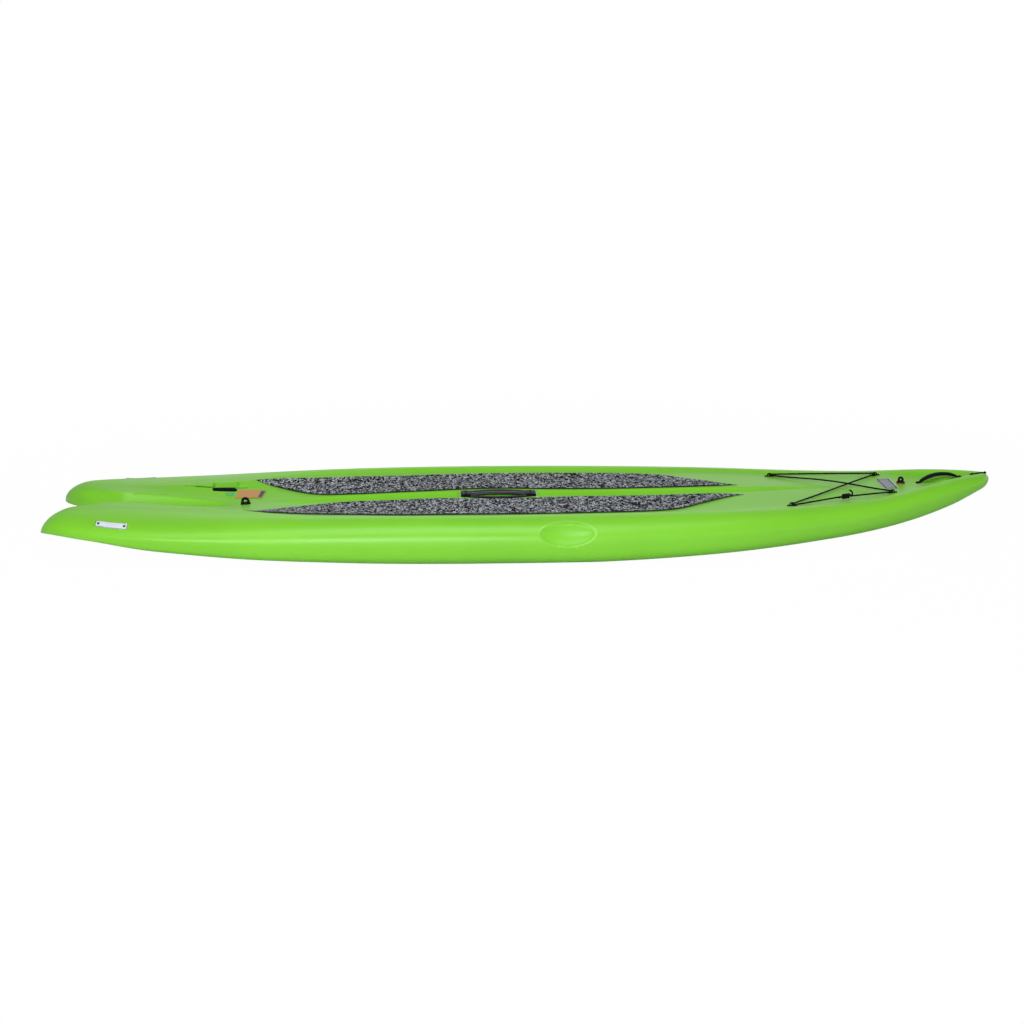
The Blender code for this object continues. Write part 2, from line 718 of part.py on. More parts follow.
def hull_sections():
    sections = [(-HALF_LENGTH, [(TAIL_TIP_Y, TAIL_TIP_Z)], True)]
    sections += [(station(s), section(station(s)), True) for s in TAIL_STATIONS]
    sections += [(station(s), section(station(s)), False) for s in BODY_STATIONS]
    sections.append((HALF_LENGTH, [(0.0, NOSE_Z)], False))
    return sections


def inner_sections(gap=0.0):
    """The space inside the shell, or what fills it with a gap all round.

    It comes to a point short of each tip, where the shell is solid.
    """
    stations = [s for s in TAIL_STATIONS[4:] + BODY_STATIONS[:-4] if s not in COARSE_STATIONS]
    sections = []
    for x in map(station, stations):
        closed = notch_edge(x - 3 * WALL) > 0
        sections.append((x, drawn_in(section(x, WALL), gap, closed), closed))
    aft = sections[0][1]
    middle = tuple(sum(point[i] for point in aft) / len(aft) for i in (0, 1))
    fore = sections[-1][1]
    room = INNER_POINT - 3 * gap
    sections.insert(0, (sections[0][0] - room, [middle], True))
    sections.append((sections[-1][0] + room, [(0.0, (fore[0][1] + fore[-1][1]) / 2)], False))
    return sections


def drawn_in(points, gap, closed):
    """Half a cross-section with each side moved in by a gap."""
    widest = max(range(len(points)), key=lambda i: points[i][0])
    wide = points[widest][0]
    middle = (points[0][0] + wide) / 2 if closed else 0.0
    scale = 1 - gap / (wide - middle)
    moved = []
    for i, (y, z) in enumerate(points):
        way = (i > widest) - (i < widest)
        moved.append((middle + (y - middle) * scale, z + way * gap))
    return moved


def sheet(name, rows, thickness, home, paint=None):
    """A thin solid on a grid of surface points. Rows that come to one point are welded there."""
    shape = bmesh.new()
    grid = [[shape.verts.new(co) for co in row] for row in rows]
    for row, after in zip(grid, grid[1:]):
        for j in range(len(row) - 1):
            shape.faces.new((row[j], after[j], after[j + 1], row[j + 1]))
    bmesh.ops.remove_doubles(shape, verts=shape.verts, dist=0.00002)
    for face in shape.faces:
        face.normal_update()
    made = from_bmesh(name, shape, home, paint)
    thick = made.modifiers.new("thickness", "SOLIDIFY")
    thick.thickness = thickness
    thick.offset = 1.0
    return made


def screw(name, place, bite, head=SCREW_HEAD_RADIUS, radius=SCREW_RADIUS):
    """A pan-head screw. Its place is under the head, and bite is how far the shank reaches down."""
    height = SCREW_HEAD_HEIGHT
    profile = [
        (0, height), (head * 0.75, height * 0.8), (head, 0), (radius, 0), (radius, -bite + radius),
        (0, -bite)]
    return turned(name, profile, BOARD, place, steps=8, paint="black_steel")


def fasten(name, place, spots, top, held, head=SCREW_HEAD_RADIUS, radius=SCREW_RADIUS):
    """Screws through a fitting whose top face is that far above the deck seat at its place.

    The fitting gets clearance holes, the shell gets blind bores, and the space inside the shell
    leaves a boss round each bore.
    """
    hole = radius + SCREW_ROOM
    for i, (x, y) in enumerate(spots):
        at = place @ shift(x, y, 0)
        screw(f"{name}_screw_{i + 1}", at @ shift(z=top + GAP), top + SCREW_LENGTH, head, radius)
        boolean(held, cylinder(f"{name}_hole_{i + 1}", hole, 0.06, CUTTERS, at, sides=8))
        depth = SCREW_LENGTH + 0.0008
        cylinder(f"{name}_bore_{i + 1}", hole, depth + 0.01, RECESSES, at @ shift(z=(0.01 - depth) / 2),
                 sides=8)
        for home, more in ((WALLS, 0.0), (FOAM_ROOM, FOAM_CLEARANCE)):
            cylinder(f"{name}_boss_{i + 1}", BOSS_RADIUS + more, BOSS_DEPTH + 0.02 + more, home,
                     at @ shift(z=(0.02 - BOSS_DEPTH - more) / 2), sides=6)


def seat(name, place, length, width, corner=0.0, segments=2):
    """A shallow flat seat in the deck for the foot of a fitting."""
    box(name, (length + 2 * SEAT_MARGIN, width + 2 * SEAT_MARGIN, 0.012), RECESSES,
        place @ shift(z=0.006), bevel=corner, segments=segments)


def room_round(name, size, place, corner, wall):
    """Keeps the inside of the shell and the foam clear of a recess, with a wall between."""
    for home, more in ((WALLS, wall), (FOAM_ROOM, wall + FOAM_CLEARANCE)):
        grown = (size[0] + 2 * more, size[1] + 2 * more, size[2] + 2 * more)
        box(name, grown, home, place, bevel=corner + more)


# Shell and foam

def make_hull():
    hull = loft("hull_shell", hull_sections(), BOARD, "green_shell")
    boolean(hull, RECESSES)
    inside = loft("inside_of_shell", inner_sections(), CUTTERS)
    boolean(inside, WALLS)
    boolean(hull, inside)
    smooth_shade(hull, 40)
    foam = loft("foam_core", inner_sections(FOAM_GAP), BOARD, "white_foam")
    boolean(foam, FOAM_ROOM)


def pad_rows(side):
    """Points of a pad's under side, from its inner to its outer edge, along the board."""
    stations = [-0.585, -0.565, -0.535, -0.5, -0.45, -0.4, -0.35, -0.31, -0.27, -0.235, -0.2, -0.17, -0.14,
                -0.0561, 0.02, 0.045, 0.08, 0.16, 0.24, 0.3, 0.335, 0.37, 0.4, 0.43, 0.45, 0.4655]
    rows = []
    for s in stations:
        x = station(s)
        near = max(pad_inner_line(s) * HALF_BEAM, groove_span(x, 0))
        far = pad_outer_line(s) * HALF_BEAM
        row = []
        for t in (0, 0.13, 0.3, 0.55, 0.8, 1):
            y = near + (far - near) * t
            row.append((x, side * y, deck_z(x, y) + PAD_GAP))
        rows.append(row if side > 0 else row[::-1])
    return rows


def make_pads():
    for name, side in (("deck_pad_port", 1), ("deck_pad_starboard", -1)):
        sheet(name, pad_rows(side), PAD_THICKNESS, BOARD, "speckled_pad")


# Centre carry handle

def boat_shape(length, middle, end, steps=10):
    """A closed outline with square ends that swells to its full width in the middle."""
    side = []
    for i in range(steps + 1):
        t = -1 + 2 * i / steps
        side.append((t * length / 2, (end + (middle - end) * math.cos(t * math.pi / 2)) / 2))
    return side + [(x, -y) for x, y in side[::-1]]


def make_centre_handle():
    x = station(HANDLE_STATION)
    level = min(deck_z(x + side * FRAME_LENGTH / 2, 0) for side in (-1, 1)) - SEAT_DEPTH
    place = Matrix.Translation((x, 0, level))
    margin = 2 * SEAT_MARGIN
    seat_shape = boat_shape(FRAME_LENGTH + margin, FRAME_WIDTH + margin, FRAME_END_WIDTH + margin)
    outline_solid("handle_seat", seat_shape, 0.012, RECESSES, place @ shift(z=0.006))
    depth = POCKET_DEPTH + 0.01
    for home, more in ((RECESSES, 0.0), (WALLS, WALL), (FOAM_ROOM, WALL + FOAM_CLEARANCE)):
        grown = 2 * (POCKET_MARGIN + more)
        shape = boat_shape(MOUTH_LENGTH + 2 * more, MOUTH_WIDTH + grown, MOUTH_END_WIDTH + grown, 8)
        outline_solid("handle_pocket", shape, depth + 2 * more, home, place @ shift(z=0.01 - depth / 2))

    top = GAP + FRAME_THICKNESS
    frame = outline_solid(
        "handle_frame", boat_shape(FRAME_LENGTH, FRAME_WIDTH, FRAME_END_WIDTH), FRAME_THICKNESS, BOARD,
        place @ shift(z=GAP + FRAME_THICKNESS / 2), "black_plastic")
    mouth = outline_solid(
        "handle_mouth", boat_shape(MOUTH_LENGTH, MOUTH_WIDTH, MOUTH_END_WIDTH), 0.08, CUTTERS, place)
    block_x = (FRAME_LENGTH - BLOCK_LENGTH) / 2 - 0.002
    block_top = top + BLOCK_RISE
    for end in (-1, 1):
        block = box(
            f"handle_block_{end}", (BLOCK_LENGTH, BLOCK_WIDTH, block_top - 0.002), CUTTERS,
            place @ shift(end * block_x, 0, (block_top + 0.002) / 2), bevel=0.003)
        boolean(frame, block, "UNION")
    boolean(frame, mouth)
    smooth_shade(frame, 30)

    reach = MOUTH_LENGTH / 2 - GAP
    low = block_top - GRIP_HEIGHT / 2
    spots = []
    for i in range(9):
        t = -1 + 2 * i / 8
        spots.append((t * reach, 0, low + GRIP_BOW * smooth(1.4 * (1 - abs(t)))))
    grip = tube("handle_grip", spots, GRIP_HEIGHT / 2, BOARD, place, "black_plastic", resolution=3)
    grip.data.transform(Matrix.Diagonal((1.0, GRIP_WIDTH / GRIP_HEIGHT, 1.0, 1.0)))
    smooth_shade(grip, 40)
    corners = [(end * block_x, side * BLOCK_WIDTH * 0.32) for end in (-1, 1) for side in (-1, 1)]
    fasten("handle_frame", place, corners, block_top, frame)


# Bow handle

def make_bow_handle():
    x = station(BOW_HANDLE_STATION)
    half = BOW_HANDLE_LENGTH / 2
    aft = Vector((x - half, 0, deck_z(x - half, 0)))
    fore = Vector((x + half, 0, deck_z(x + half, 0)))
    tilt = math.atan2(fore.z - aft.z, fore.x - aft.x)
    middle = (aft + fore) / 2 - Vector((0, 0, SEAT_DEPTH))
    place = Matrix.Translation(middle) @ Matrix.Rotation(-tilt, 4, "Y")
    length = (fore - aft).length / 2 + 0.002
    for end in (-1, 1):
        seat(f"bow_handle_seat_{end}", place @ shift(end * (length - BOW_FOOT_LENGTH / 2 - 0.005)),
             BOW_FOOT_LENGTH + 0.012, BOW_HANDLE_WIDTH)
    scoop = (BOW_SCOOP_LENGTH, BOW_SCOOP_WIDTH, 2 * BOW_SCOOP_DEPTH)
    ellipsoid("bow_scoop", scoop, RECESSES, place)
    for home, more in ((WALLS, WALL), (FOAM_ROOM, WALL + FOAM_CLEARANCE)):
        ellipsoid("bow_scoop_room", [s + 2 * more for s in scoop], home, place, rings=6, sides=12)

    root = length - BOW_FOOT_LENGTH
    foot = GAP + BOW_FOOT_THICKNESS
    crest = BOW_HANDLE_RISE
    under = crest - BOW_HANDLE_THICKNESS
    steps = 8

    def arch(height, low, reach):
        points = []
        for i in range(1, steps):
            t = -1 + 2 * i / steps
            points.append((t * reach, low + (height - low) * math.cos(t * math.pi / 2) ** 0.8))
        return points

    outline = [(-length, GAP), (-root, GAP)]
    outline += arch(under, GAP, root)
    outline += [(root, GAP), (length, GAP), (length, foot), (root + 0.002, foot)]
    outline += arch(crest, foot, root + 0.002)[::-1]
    outline += [(-root - 0.002, foot), (-length, foot)]
    strap = outline_solid("bow_handle", outline, BOW_HANDLE_WIDTH, BOARD, place @ ABOUT_X, "black_plastic")
    smooth_shade(strap, 30)
    spots = [(end * (length - BOW_FOOT_LENGTH / 2 + 0.001), 0) for end in (-1, 1)]
    fasten("bow_handle", place, spots, foot, strap)


# Hand scoops in the rails

def make_side_scoops():
    x = station(SIDE_SCOOP_STATION)
    low = beam_height_line(SIDE_SCOOP_STATION)
    share = 1 - ((SIDE_SCOOP_Z_SHARE - low) / (crown_line(SIDE_SCOOP_STATION) - low)) ** RAIL_POWER
    crown = crown_half(x, 0)
    y = crown + (half_beam(x) - crown) * share ** (1 / RAIL_POWER)
    z = SIDE_SCOOP_Z_SHARE * THICKNESS
    size = (SIDE_SCOOP_LENGTH, 2 * SIDE_SCOOP_DEPTH, SIDE_SCOOP_HEIGHT)
    for side in (-1, 1):
        place = Matrix.Translation((x, side * y, z)) @ Matrix.Rotation(side * SIDE_SCOOP_TILT, 4, "X")
        ellipsoid("side_scoop", size, RECESSES, place)
        for home, more in ((WALLS, WALL), (FOAM_ROOM, WALL + FOAM_CLEARANCE)):
            ellipsoid("side_scoop_room", [s + 2 * more for s in size], home, place, rings=6, sides=12)


# Folding fins

def fin_outline():
    """A folded fin from the side, about its pivot: a round-nosed lever on top of a swept blade."""
    top = LEVER_TOP
    aft = LEVER_AFT
    nose = LEVER_FORE
    points = arc((nose - LEVER_NOSE, top - LEVER_NOSE), LEVER_NOSE, -10, 90, 4)
    points += [(-aft, top), (-aft - 0.008, top + 0.0025), (-aft - 0.040, top + 0.0055)]
    points += [(-aft - 0.056, top + 0.0072), (-aft - 0.063, top + 0.0045), (-aft - 0.061, top - 0.008)]
    points += [(-aft - 0.048, -0.006), (-aft - 0.026, -0.025), (-aft, -0.037), (-0.036, -0.040)]
    points += [(-0.013, -0.032), (0.002, -0.018), (0.008, -0.004)]
    return points


def make_fin(side, name):
    x = station(FIN_STATION)
    pivot_z = deck_z(x, FIN_Y) - FIN_PIVOT_DEPTH
    print(f"{name} fin pivot {x:.5f} {side * FIN_Y:.5f} {pivot_z:.5f}")
    pivot = Matrix.Translation((x, side * FIN_Y, pivot_z))
    well = (WELL_AFT + WELL_FORE, WELL_WIDTH, 0.30)
    well_place = pivot @ shift((WELL_FORE - WELL_AFT) / 2)
    box(f"fin_well_{name}", well, RECESSES, well_place, bevel=WELL_WIDTH * 0.45)
    room_round(f"fin_well_room_{name}", well, well_place, WELL_WIDTH * 0.45, WELL_WALL)
    finger = (FINGER_AFT + FINGER_FORE, FINGER_INBOARD + FINGER_OUTBOARD, 0.10)
    finger_place = pivot @ shift(
        (FINGER_FORE - FINGER_AFT) / 2, side * (FINGER_OUTBOARD - FINGER_INBOARD) / 2, FINGER_FLOOR + 0.05)
    box(f"finger_pocket_{name}", finger, RECESSES, finger_place, bevel=FINGER_CORNER)
    room_round(f"finger_pocket_room_{name}", finger, finger_place, FINGER_CORNER, WALL)

    flat = outline_solid(
        f"fin_{name}", fin_outline(), FIN_THICKNESS, BOARD, pivot @ ABOUT_X, "black_plastic")
    nose = (LEVER_FORE - LEVER_NOSE, LEVER_TOP - LEVER_NOSE)
    lever_low = nose[1] - LEVER_NOSE - LEVER_PROUD
    lever_outline = arc(nose, LEVER_NOSE + LEVER_PROUD, -90, 90, 6)
    lever_outline += [(-LEVER_AFT, LEVER_TOP + LEVER_PROUD), (-LEVER_AFT, lever_low)]
    lever = outline_solid(f"lever_{name}", lever_outline, LEVER_THICKNESS, CUTTERS, pivot @ ABOUT_X)
    boolean(flat, lever, "UNION")
    hub = cylinder(
        f"hub_{name}", HUB_RADIUS, LEVER_THICKNESS + 2 * LEVER_PROUD, CUTTERS, pivot @ ABOUT_X, sides=16)
    boolean(flat, hub, "UNION")
    bore = cylinder(f"fin_bore_{name}", PIN_RADIUS + PIN_ROOM, 0.05, CUTTERS, pivot @ ABOUT_X, sides=16)
    boolean(flat, bore)
    smooth_shade(flat, 30)

    pin_length = WELL_WIDTH + 2 * PIN_BITE
    cylinder(f"fin_pin_{name}", PIN_RADIUS, pin_length, BOARD, pivot @ ABOUT_X, sides=16, paint="steel")
    cylinder(f"pin_bore_{name}", PIN_RADIUS + PIN_ROOM, pin_length + 0.0008, RECESSES, pivot @ ABOUT_X,
             sides=16)


# Vent plug

def make_vent():
    x = station(VENT_STATION)
    place = deck_place(x, 0, SEAT_DEPTH, upright=True)
    seat("vent_seat", place, 2 * VENT_HEAD_RADIUS, 2 * VENT_HEAD_RADIUS, 0.012)
    cylinder("vent_bore", VENT_BORE_RADIUS, 0.05, RECESSES, place, sides=16)
    cylinder("vent_room", VENT_BORE_RADIUS + 0.004, 0.06, FOAM_ROOM, place, sides=12)
    ring_z = GAP + VENT_RING_SECTION
    ring = turned(
        "vent_oring", ring_section(VENT_RING_RADIUS, VENT_RING_SECTION), BOARD, place @ shift(z=ring_z),
        steps=16, paint="seal")
    smooth_shade(ring)
    head_z = ring_z + VENT_RING_SECTION + GAP
    head_top = head_z + VENT_HEAD_THICKNESS
    profile = [
        (0, head_top), (VENT_HEAD_RADIUS - 0.003, head_top), (VENT_HEAD_RADIUS, head_top - 0.002),
        (VENT_HEAD_RADIUS, head_z), (VENT_SHANK_RADIUS, head_z), (VENT_SHANK_RADIUS, -VENT_SHANK_LENGTH),
        (0, -VENT_SHANK_LENGTH - 0.001)]
    plug = turned("vent_plug", profile, BOARD, place, steps=20, paint="black_plastic")
    half = VENT_TAB_LENGTH / 2
    low = head_top - 0.002
    straight = VENT_TAB_HEIGHT - half
    outline = [(-half, low), (half, low)]
    outline += arc((0, low + straight), half, 0, 180, 8)
    tab = outline_solid("vent_tab", outline, VENT_TAB_THICKNESS, CUTTERS, place @ ABOUT_X)
    boolean(plug, tab, "UNION")
    hole = cylinder(
        "vent_tab_hole", VENT_TAB_HOLE, 0.03, CUTTERS, place @ shift(z=low + straight) @ ABOUT_X, sides=12)
    boolean(plug, hole)
    smooth_shade(plug, 30)


# Eyes

def arch_points(span, height, foot):
    """A staple's line in the XZ plane, with its feet below the base's top."""
    points = [(-span, 0, foot)]
    rise = height - span
    points += [(-x, 0, rise + z) for x, z in arc((0, 0), span, 0, 180, 8)]
    points.append((span, 0, foot))
    return points


def make_eye(name, place, size, wire, span, height, spots, **screws):
    length, width, base = size
    corner = EYE_CORNER_SHARE * width
    seat(f"{name}_seat", place, length, width, corner)
    eye = box(name, size, BOARD, place @ shift(z=GAP + base / 2), bevel=corner, paint="black_plastic")
    staple = arch_points(span, height - wire, base / 2)
    bow = tube(f"{name}_bow", staple, wire, CUTTERS, place, resolution=1)
    boolean(eye, bow, "UNION")
    smooth_shade(eye, 30)
    fasten(name, place, spots, GAP + base, eye, **screws)


def make_eyes():
    ends = [(-EYE_SCREW_X, 0), (EYE_SCREW_X, 0)]
    for s, y, where in ((EYE_REAR_STATION, EYE_REAR_Y, "rear"), (EYE_FRONT_STATION, EYE_FRONT_Y, "front")):
        for side, hand in ((1, "port"), (-1, "starboard")):
            place = deck_place(station(s), side * y, SEAT_DEPTH)
            make_eye(f"cord_eye_{where}_{hand}", place, (EYE_LENGTH, EYE_WIDTH, EYE_BASE), EYE_WIRE,
                     EYE_SPAN, EYE_HEIGHT, ends, head=EYE_SCREW_HEAD, radius=EYE_SCREW_RADIUS)
    place = deck_place(station(LEASH_STATION), 0, SEAT_DEPTH)
    make_eye("leash_eye", place, (LEASH_LENGTH, LEASH_WIDTH, LEASH_BASE), LEASH_WIRE, LEASH_RADIUS,
             LEASH_HEIGHT, [(0, -LEASH_SCREW_Y), (0, LEASH_SCREW_Y)])


def make_nose_eye():
    """A strap that follows the top of the nose, with a small ring at its fore end."""
    fore = HALF_LENGTH - NOSE_EYE_IN
    aft = fore - NOSE_EYE_LENGTH
    stations = [aft + NOSE_EYE_LENGTH * i / 6 for i in range(7)]
    under = [(x, max(deck_z(x, 0), deck_z(x, NOSE_EYE_WIDTH / 2)) + GAP + 0.0002) for x in stations]
    over = [(x, z + NOSE_EYE_STRAP) for x, z in under]
    strap = outline_solid(
        "nose_eye", under + over[::-1], NOSE_EYE_WIDTH, BOARD, ABOUT_X, "black_plastic")
    ring_x = fore - 0.001
    ring_z = deck_z(ring_x, 0) + NOSE_EYE_RING + 0.0008
    at = Matrix.Translation((ring_x, 0, ring_z)) @ ABOUT_X
    ring = cylinder("nose_ring", NOSE_EYE_RING, NOSE_EYE_WIDTH, CUTTERS, at, sides=16)
    boolean(strap, ring, "UNION")
    hole = cylinder("nose_ring_hole", NOSE_EYE_HOLE, 0.05, CUTTERS, at, sides=12)
    boolean(strap, hole)
    smooth_shade(strap, 30)
    place = deck_place(aft + 0.008, 0, -GAP)
    fasten("nose_eye", place, [(0, 0)], NOSE_EYE_STRAP + GAP, strap)


# Deck cord

def cord_eyes():
    """Where the four eyes stand on the deck."""
    spots = []
    for s, y in ((EYE_REAR_STATION, EYE_REAR_Y), (EYE_FRONT_STATION, EYE_FRONT_Y)):
        for side in (1, -1):
            x = station(s)
            spots.append(Vector((x, side * y, deck_z(x, y) - SEAT_DEPTH)))
    return spots


def cord_turn(eye, way, first, steps=6):
    """A half turn through an eye. Way is +1 when both legs run forward, -1 when they run aft.

    First is the side, in Y, where the cord comes in.
    """
    points = []
    for i in range(steps + 1):
        a = math.pi * i / steps
        back = way * CORD_TURN * 0.55 * (1 - math.sin(a))
        points.append(eye + Vector((back, first * CORD_TURN * math.cos(a), CORD_LIFT)))
    return points


def cord_line():
    """The deck cord, from its free end through the knot, round the four eyes and back to the knot."""
    rear_port, rear_star, front_port, front_star = cord_eyes()
    turns = [
        cord_turn(rear_star, 1, -1), cord_turn(front_port, -1, -1), cord_turn(rear_port, 1, 1),
        cord_turn(front_star, -1, 1)]
    leg = turns[3][-1] - turns[0][0]
    along = leg.normalized()
    aside = Vector((0, 0, 1)).cross(along).normalized()
    up = along.cross(aside)
    knot = turns[0][0] + leg * KNOT_SHARE + up * KNOT_LIFT
    length = KNOT_TURNS * KNOT_PITCH
    radius = 2 * CORD_RADIUS + CORD_CLEARANCE
    start = knot - along * length / 2
    end = knot + along * length / 2

    def near_knot(base, *moves):
        return [base + along * a + aside * b + up * c for a, b, c in moves]

    line = near_knot(end, (0.001, 0.004, 0.0165), (0.005, 0.003, 0.0145), (0.008, 0.001, 0.011),
                     (0.0092, 0, 0.0065), (0.0078, 0, 0.0025), (0.004, 0, 0))
    line += [knot] + near_knot(start, (-0.006, 0, 0))
    line += turns[0]
    line += turns[1]
    line += turns[2]
    for i in range(1, 8):
        over = 2.7 * CORD_RADIUS * math.sin(math.pi * i / 8) ** 2
        line.append(turns[2][-1].lerp(turns[3][0], i / 8) + Vector((0, 0, over)))
    line += turns[3]
    line += near_knot(end, (0.018, -radius - 0.001, 0), (0.006, -radius, 0))
    count = KNOT_TURNS * 10
    for i in range(count + 1):
        a = math.tau * (KNOT_TURNS * i / count - 0.25)
        spot = end - along * (length * i / count)
        line.append(spot + up * (radius * math.cos(a)) + aside * (radius * math.sin(a)))
    line += near_knot(start, (-0.005, -radius - 0.0008, 0.0015), (-0.012, -radius - 0.004, 0.001),
                      (-0.019, -radius - 0.009, 0.002))
    return line


def least_gap(line, radius):
    """The least distance between two stretches of a tube that aren't next to each other."""
    points = []
    for a, b in zip(line, line[1:]):
        parts = max(int((b - a).length / 0.001), 1)
        points += [a.lerp(b, i / parts) for i in range(parts)]
    points = np.array([tuple(p) for p in points])
    steps = np.linalg.norm(np.diff(points, axis=0), axis=1)
    run = np.concatenate(([0.0], np.cumsum(steps)))
    least = 1.0
    for i in range(len(points)):
        far = run > run[i] + 6 * radius
        if far.any():
            away = np.linalg.norm(points[far] - points[i], axis=1)
            if away.min() < least:
                least = float(away.min())
    return least - 2 * radius


def make_bungee():
    line = cord_line()
    cord = tube("bungee_cord", line, CORD_RADIUS, BOARD, paint="black_cord")
    smooth_shade(cord, 60)
    length = sum((b - a).length for a, b in zip(line, line[1:]))
    gap = least_gap(line, CORD_RADIUS)
    print(f"deck cord: length {length:.3f} m, least gap to itself {gap * 1000:.2f} mm")


# Plates and the tag

def badge_y(x):
    """Distance of a badge plate's middle line from the board's, which widens forward."""
    return BADGE_Y_SHARE * half_beam(x) + BADGE_SLOPE * (x - station(BADGE_STATION))


def make_badges():
    x = station(BADGE_STATION)
    for side, hand in ((1, "port"), (-1, "starboard")):
        lift = side_normal(x, badge_y(x), side) * PLATE_GAP
        rows = []
        for i in range(5):
            px = x + BADGE_LENGTH * (i / 4 - 0.5)
            row = []
            for t in (-0.5, 0, 0.5):
                y = badge_y(px) + t * BADGE_WIDTH
                row.append(Vector((px, side * y, deck_z(px, y))) + lift)
            rows.append(row if side > 0 else row[::-1])
        plate = sheet(f"badge_plate_{hand}", rows, BADGE_THICKNESS, BOARD, "pale_plate")
        for end in (-1, 1):
            rivet_x = x + end * (BADGE_LENGTH / 2 - RIVET_INSET)
            make_rivet(f"badge_rivet_{hand}_{(end + 3) // 2}", rivet_x, side, plate)


def make_rivet(name, x, side, plate):
    y = badge_y(x)
    normal = side_normal(x, y, side)
    turn = normal.to_track_quat("Z", "Y").to_matrix().to_4x4()
    place = Matrix.Translation((x, side * y, deck_z(x, y))) @ turn
    top = PLATE_GAP + BADGE_THICKNESS + 2 * GAP
    profile = [
        (0, top + 0.0011), (RIVET_HEAD * 0.6, top + 0.0009), (RIVET_HEAD, top), (RIVET_RADIUS, top),
        (RIVET_RADIUS, -RIVET_DEPTH + 0.0004), (0, -RIVET_DEPTH)]
    turned(name, profile, BOARD, place, steps=8, paint="black_steel")
    boolean(plate, cylinder(f"{name}_hole", RIVET_HOLE, 0.02, CUTTERS, place, sides=8))
    depth = RIVET_DEPTH + GAP
    cylinder(f"{name}_bore", RIVET_HOLE, depth + 0.006, RECESSES, place @ shift(z=(0.006 - depth) / 2),
             sides=8)


def side_normal(x, y, side):
    step = 0.002
    slope_x = (deck_z(x + step, y) - deck_z(x - step, y)) / (2 * step)
    slope_y = (deck_z(x, y + step) - deck_z(x, y - step)) / (2 * step)
    return Vector((-slope_x, -side * slope_y, 1)).normalized()


def make_bow_plate():
    x = station(BOW_PLATE_STATION)
    half = BOW_PLATE_WIDTH / 2
    rows = []
    for t in (-1, -0.94, -0.83, -0.45, 0, 0.45, 0.83, 0.94, 1):
        y = t * half
        reach = BOW_PLATE_LENGTH / 2 * (1 - 0.4 * abs(t) ** 12)
        row = []
        for u in (1, 0.33, -0.33, -1):
            px = x + u * reach
            row.append((px, y, deck_z(px, y) + PLATE_GAP))
        rows.append(row)
    sheet("bow_plate", rows, BOW_PLATE_THICKNESS, BOARD, "grey_plate")


def make_tag():
    x = station(TAG_STATION)
    rows = []
    for i in range(5):
        row = []
        for t in (-0.5, -0.36, -0.22, -0.05, 0.15, 0.33, 0.5):
            along = TAG_LENGTH * (i / 4 - 0.5)
            across = TAG_WIDTH * t
            px = x + along * math.cos(TAG_TURN) - across * math.sin(TAG_TURN)
            py = TAG_Y + along * math.sin(TAG_TURN) + across * math.cos(TAG_TURN)
            row.append((px, py, deck_z(px, py) + TAG_GAP))
        rows.append(row)
    sheet("hang_tag", rows, TAG_THICKNESS, BOARD, "card")
    middle = (x - TAG_LENGTH / 2 - TIE_AWAY, TAG_Y + 0.006)
    points = []
    for i in range(13):
        a = math.tau * i / 14 + 0.5
        px = middle[0] + TIE_LENGTH / 2 * math.cos(a)
        py = middle[1] + TIE_WIDTH / 2 * math.sin(a)
        points.append((px, py, deck_z(px, py) + 0.0024))
    tube("tag_tie", points, TIE_RADIUS, BOARD, paint="tie", resolution=1)


make_centre_handle()
make_bow_handle()
make_side_scoops()
make_fin(1, "port")
make_fin(-1, "starboard")
make_vent()
make_eyes()
make_nose_eye()
make_bungee()
make_badges()
make_bow_plate()
make_tag()
make_pads()
make_hull()
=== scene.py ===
"""A stand-up paddle board with its deck fittings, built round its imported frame.

Places are in metres in the board's own frame: +X to the bow, +Y to port, +Z up out of the deck.
"""
import json
import math

import bmesh
import bpy
import numpy as np
from bpy.props import FloatProperty, FloatVectorProperty, IntProperty, PointerProperty
from mathutils import Matrix, Vector

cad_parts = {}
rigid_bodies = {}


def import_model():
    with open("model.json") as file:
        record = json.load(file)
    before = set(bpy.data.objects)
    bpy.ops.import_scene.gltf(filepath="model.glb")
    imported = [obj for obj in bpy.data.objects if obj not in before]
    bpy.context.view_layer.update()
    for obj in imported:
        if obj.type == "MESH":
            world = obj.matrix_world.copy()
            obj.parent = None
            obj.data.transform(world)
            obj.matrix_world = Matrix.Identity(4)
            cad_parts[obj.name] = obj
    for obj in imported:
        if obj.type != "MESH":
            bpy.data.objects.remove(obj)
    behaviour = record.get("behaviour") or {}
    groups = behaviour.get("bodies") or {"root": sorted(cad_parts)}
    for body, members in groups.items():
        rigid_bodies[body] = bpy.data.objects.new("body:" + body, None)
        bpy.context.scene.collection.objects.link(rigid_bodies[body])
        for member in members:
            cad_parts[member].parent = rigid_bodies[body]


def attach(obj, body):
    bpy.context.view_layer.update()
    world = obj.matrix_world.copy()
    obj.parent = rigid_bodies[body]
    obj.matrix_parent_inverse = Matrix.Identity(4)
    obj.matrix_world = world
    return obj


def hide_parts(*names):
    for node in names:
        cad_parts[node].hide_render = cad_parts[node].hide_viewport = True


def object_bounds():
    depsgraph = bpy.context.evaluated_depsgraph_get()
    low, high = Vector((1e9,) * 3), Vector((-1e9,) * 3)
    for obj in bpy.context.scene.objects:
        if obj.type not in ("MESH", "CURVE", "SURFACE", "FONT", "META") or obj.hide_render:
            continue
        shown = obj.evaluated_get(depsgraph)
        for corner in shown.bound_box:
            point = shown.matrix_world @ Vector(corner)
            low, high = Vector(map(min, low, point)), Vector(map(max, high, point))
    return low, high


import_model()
CAD_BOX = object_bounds()

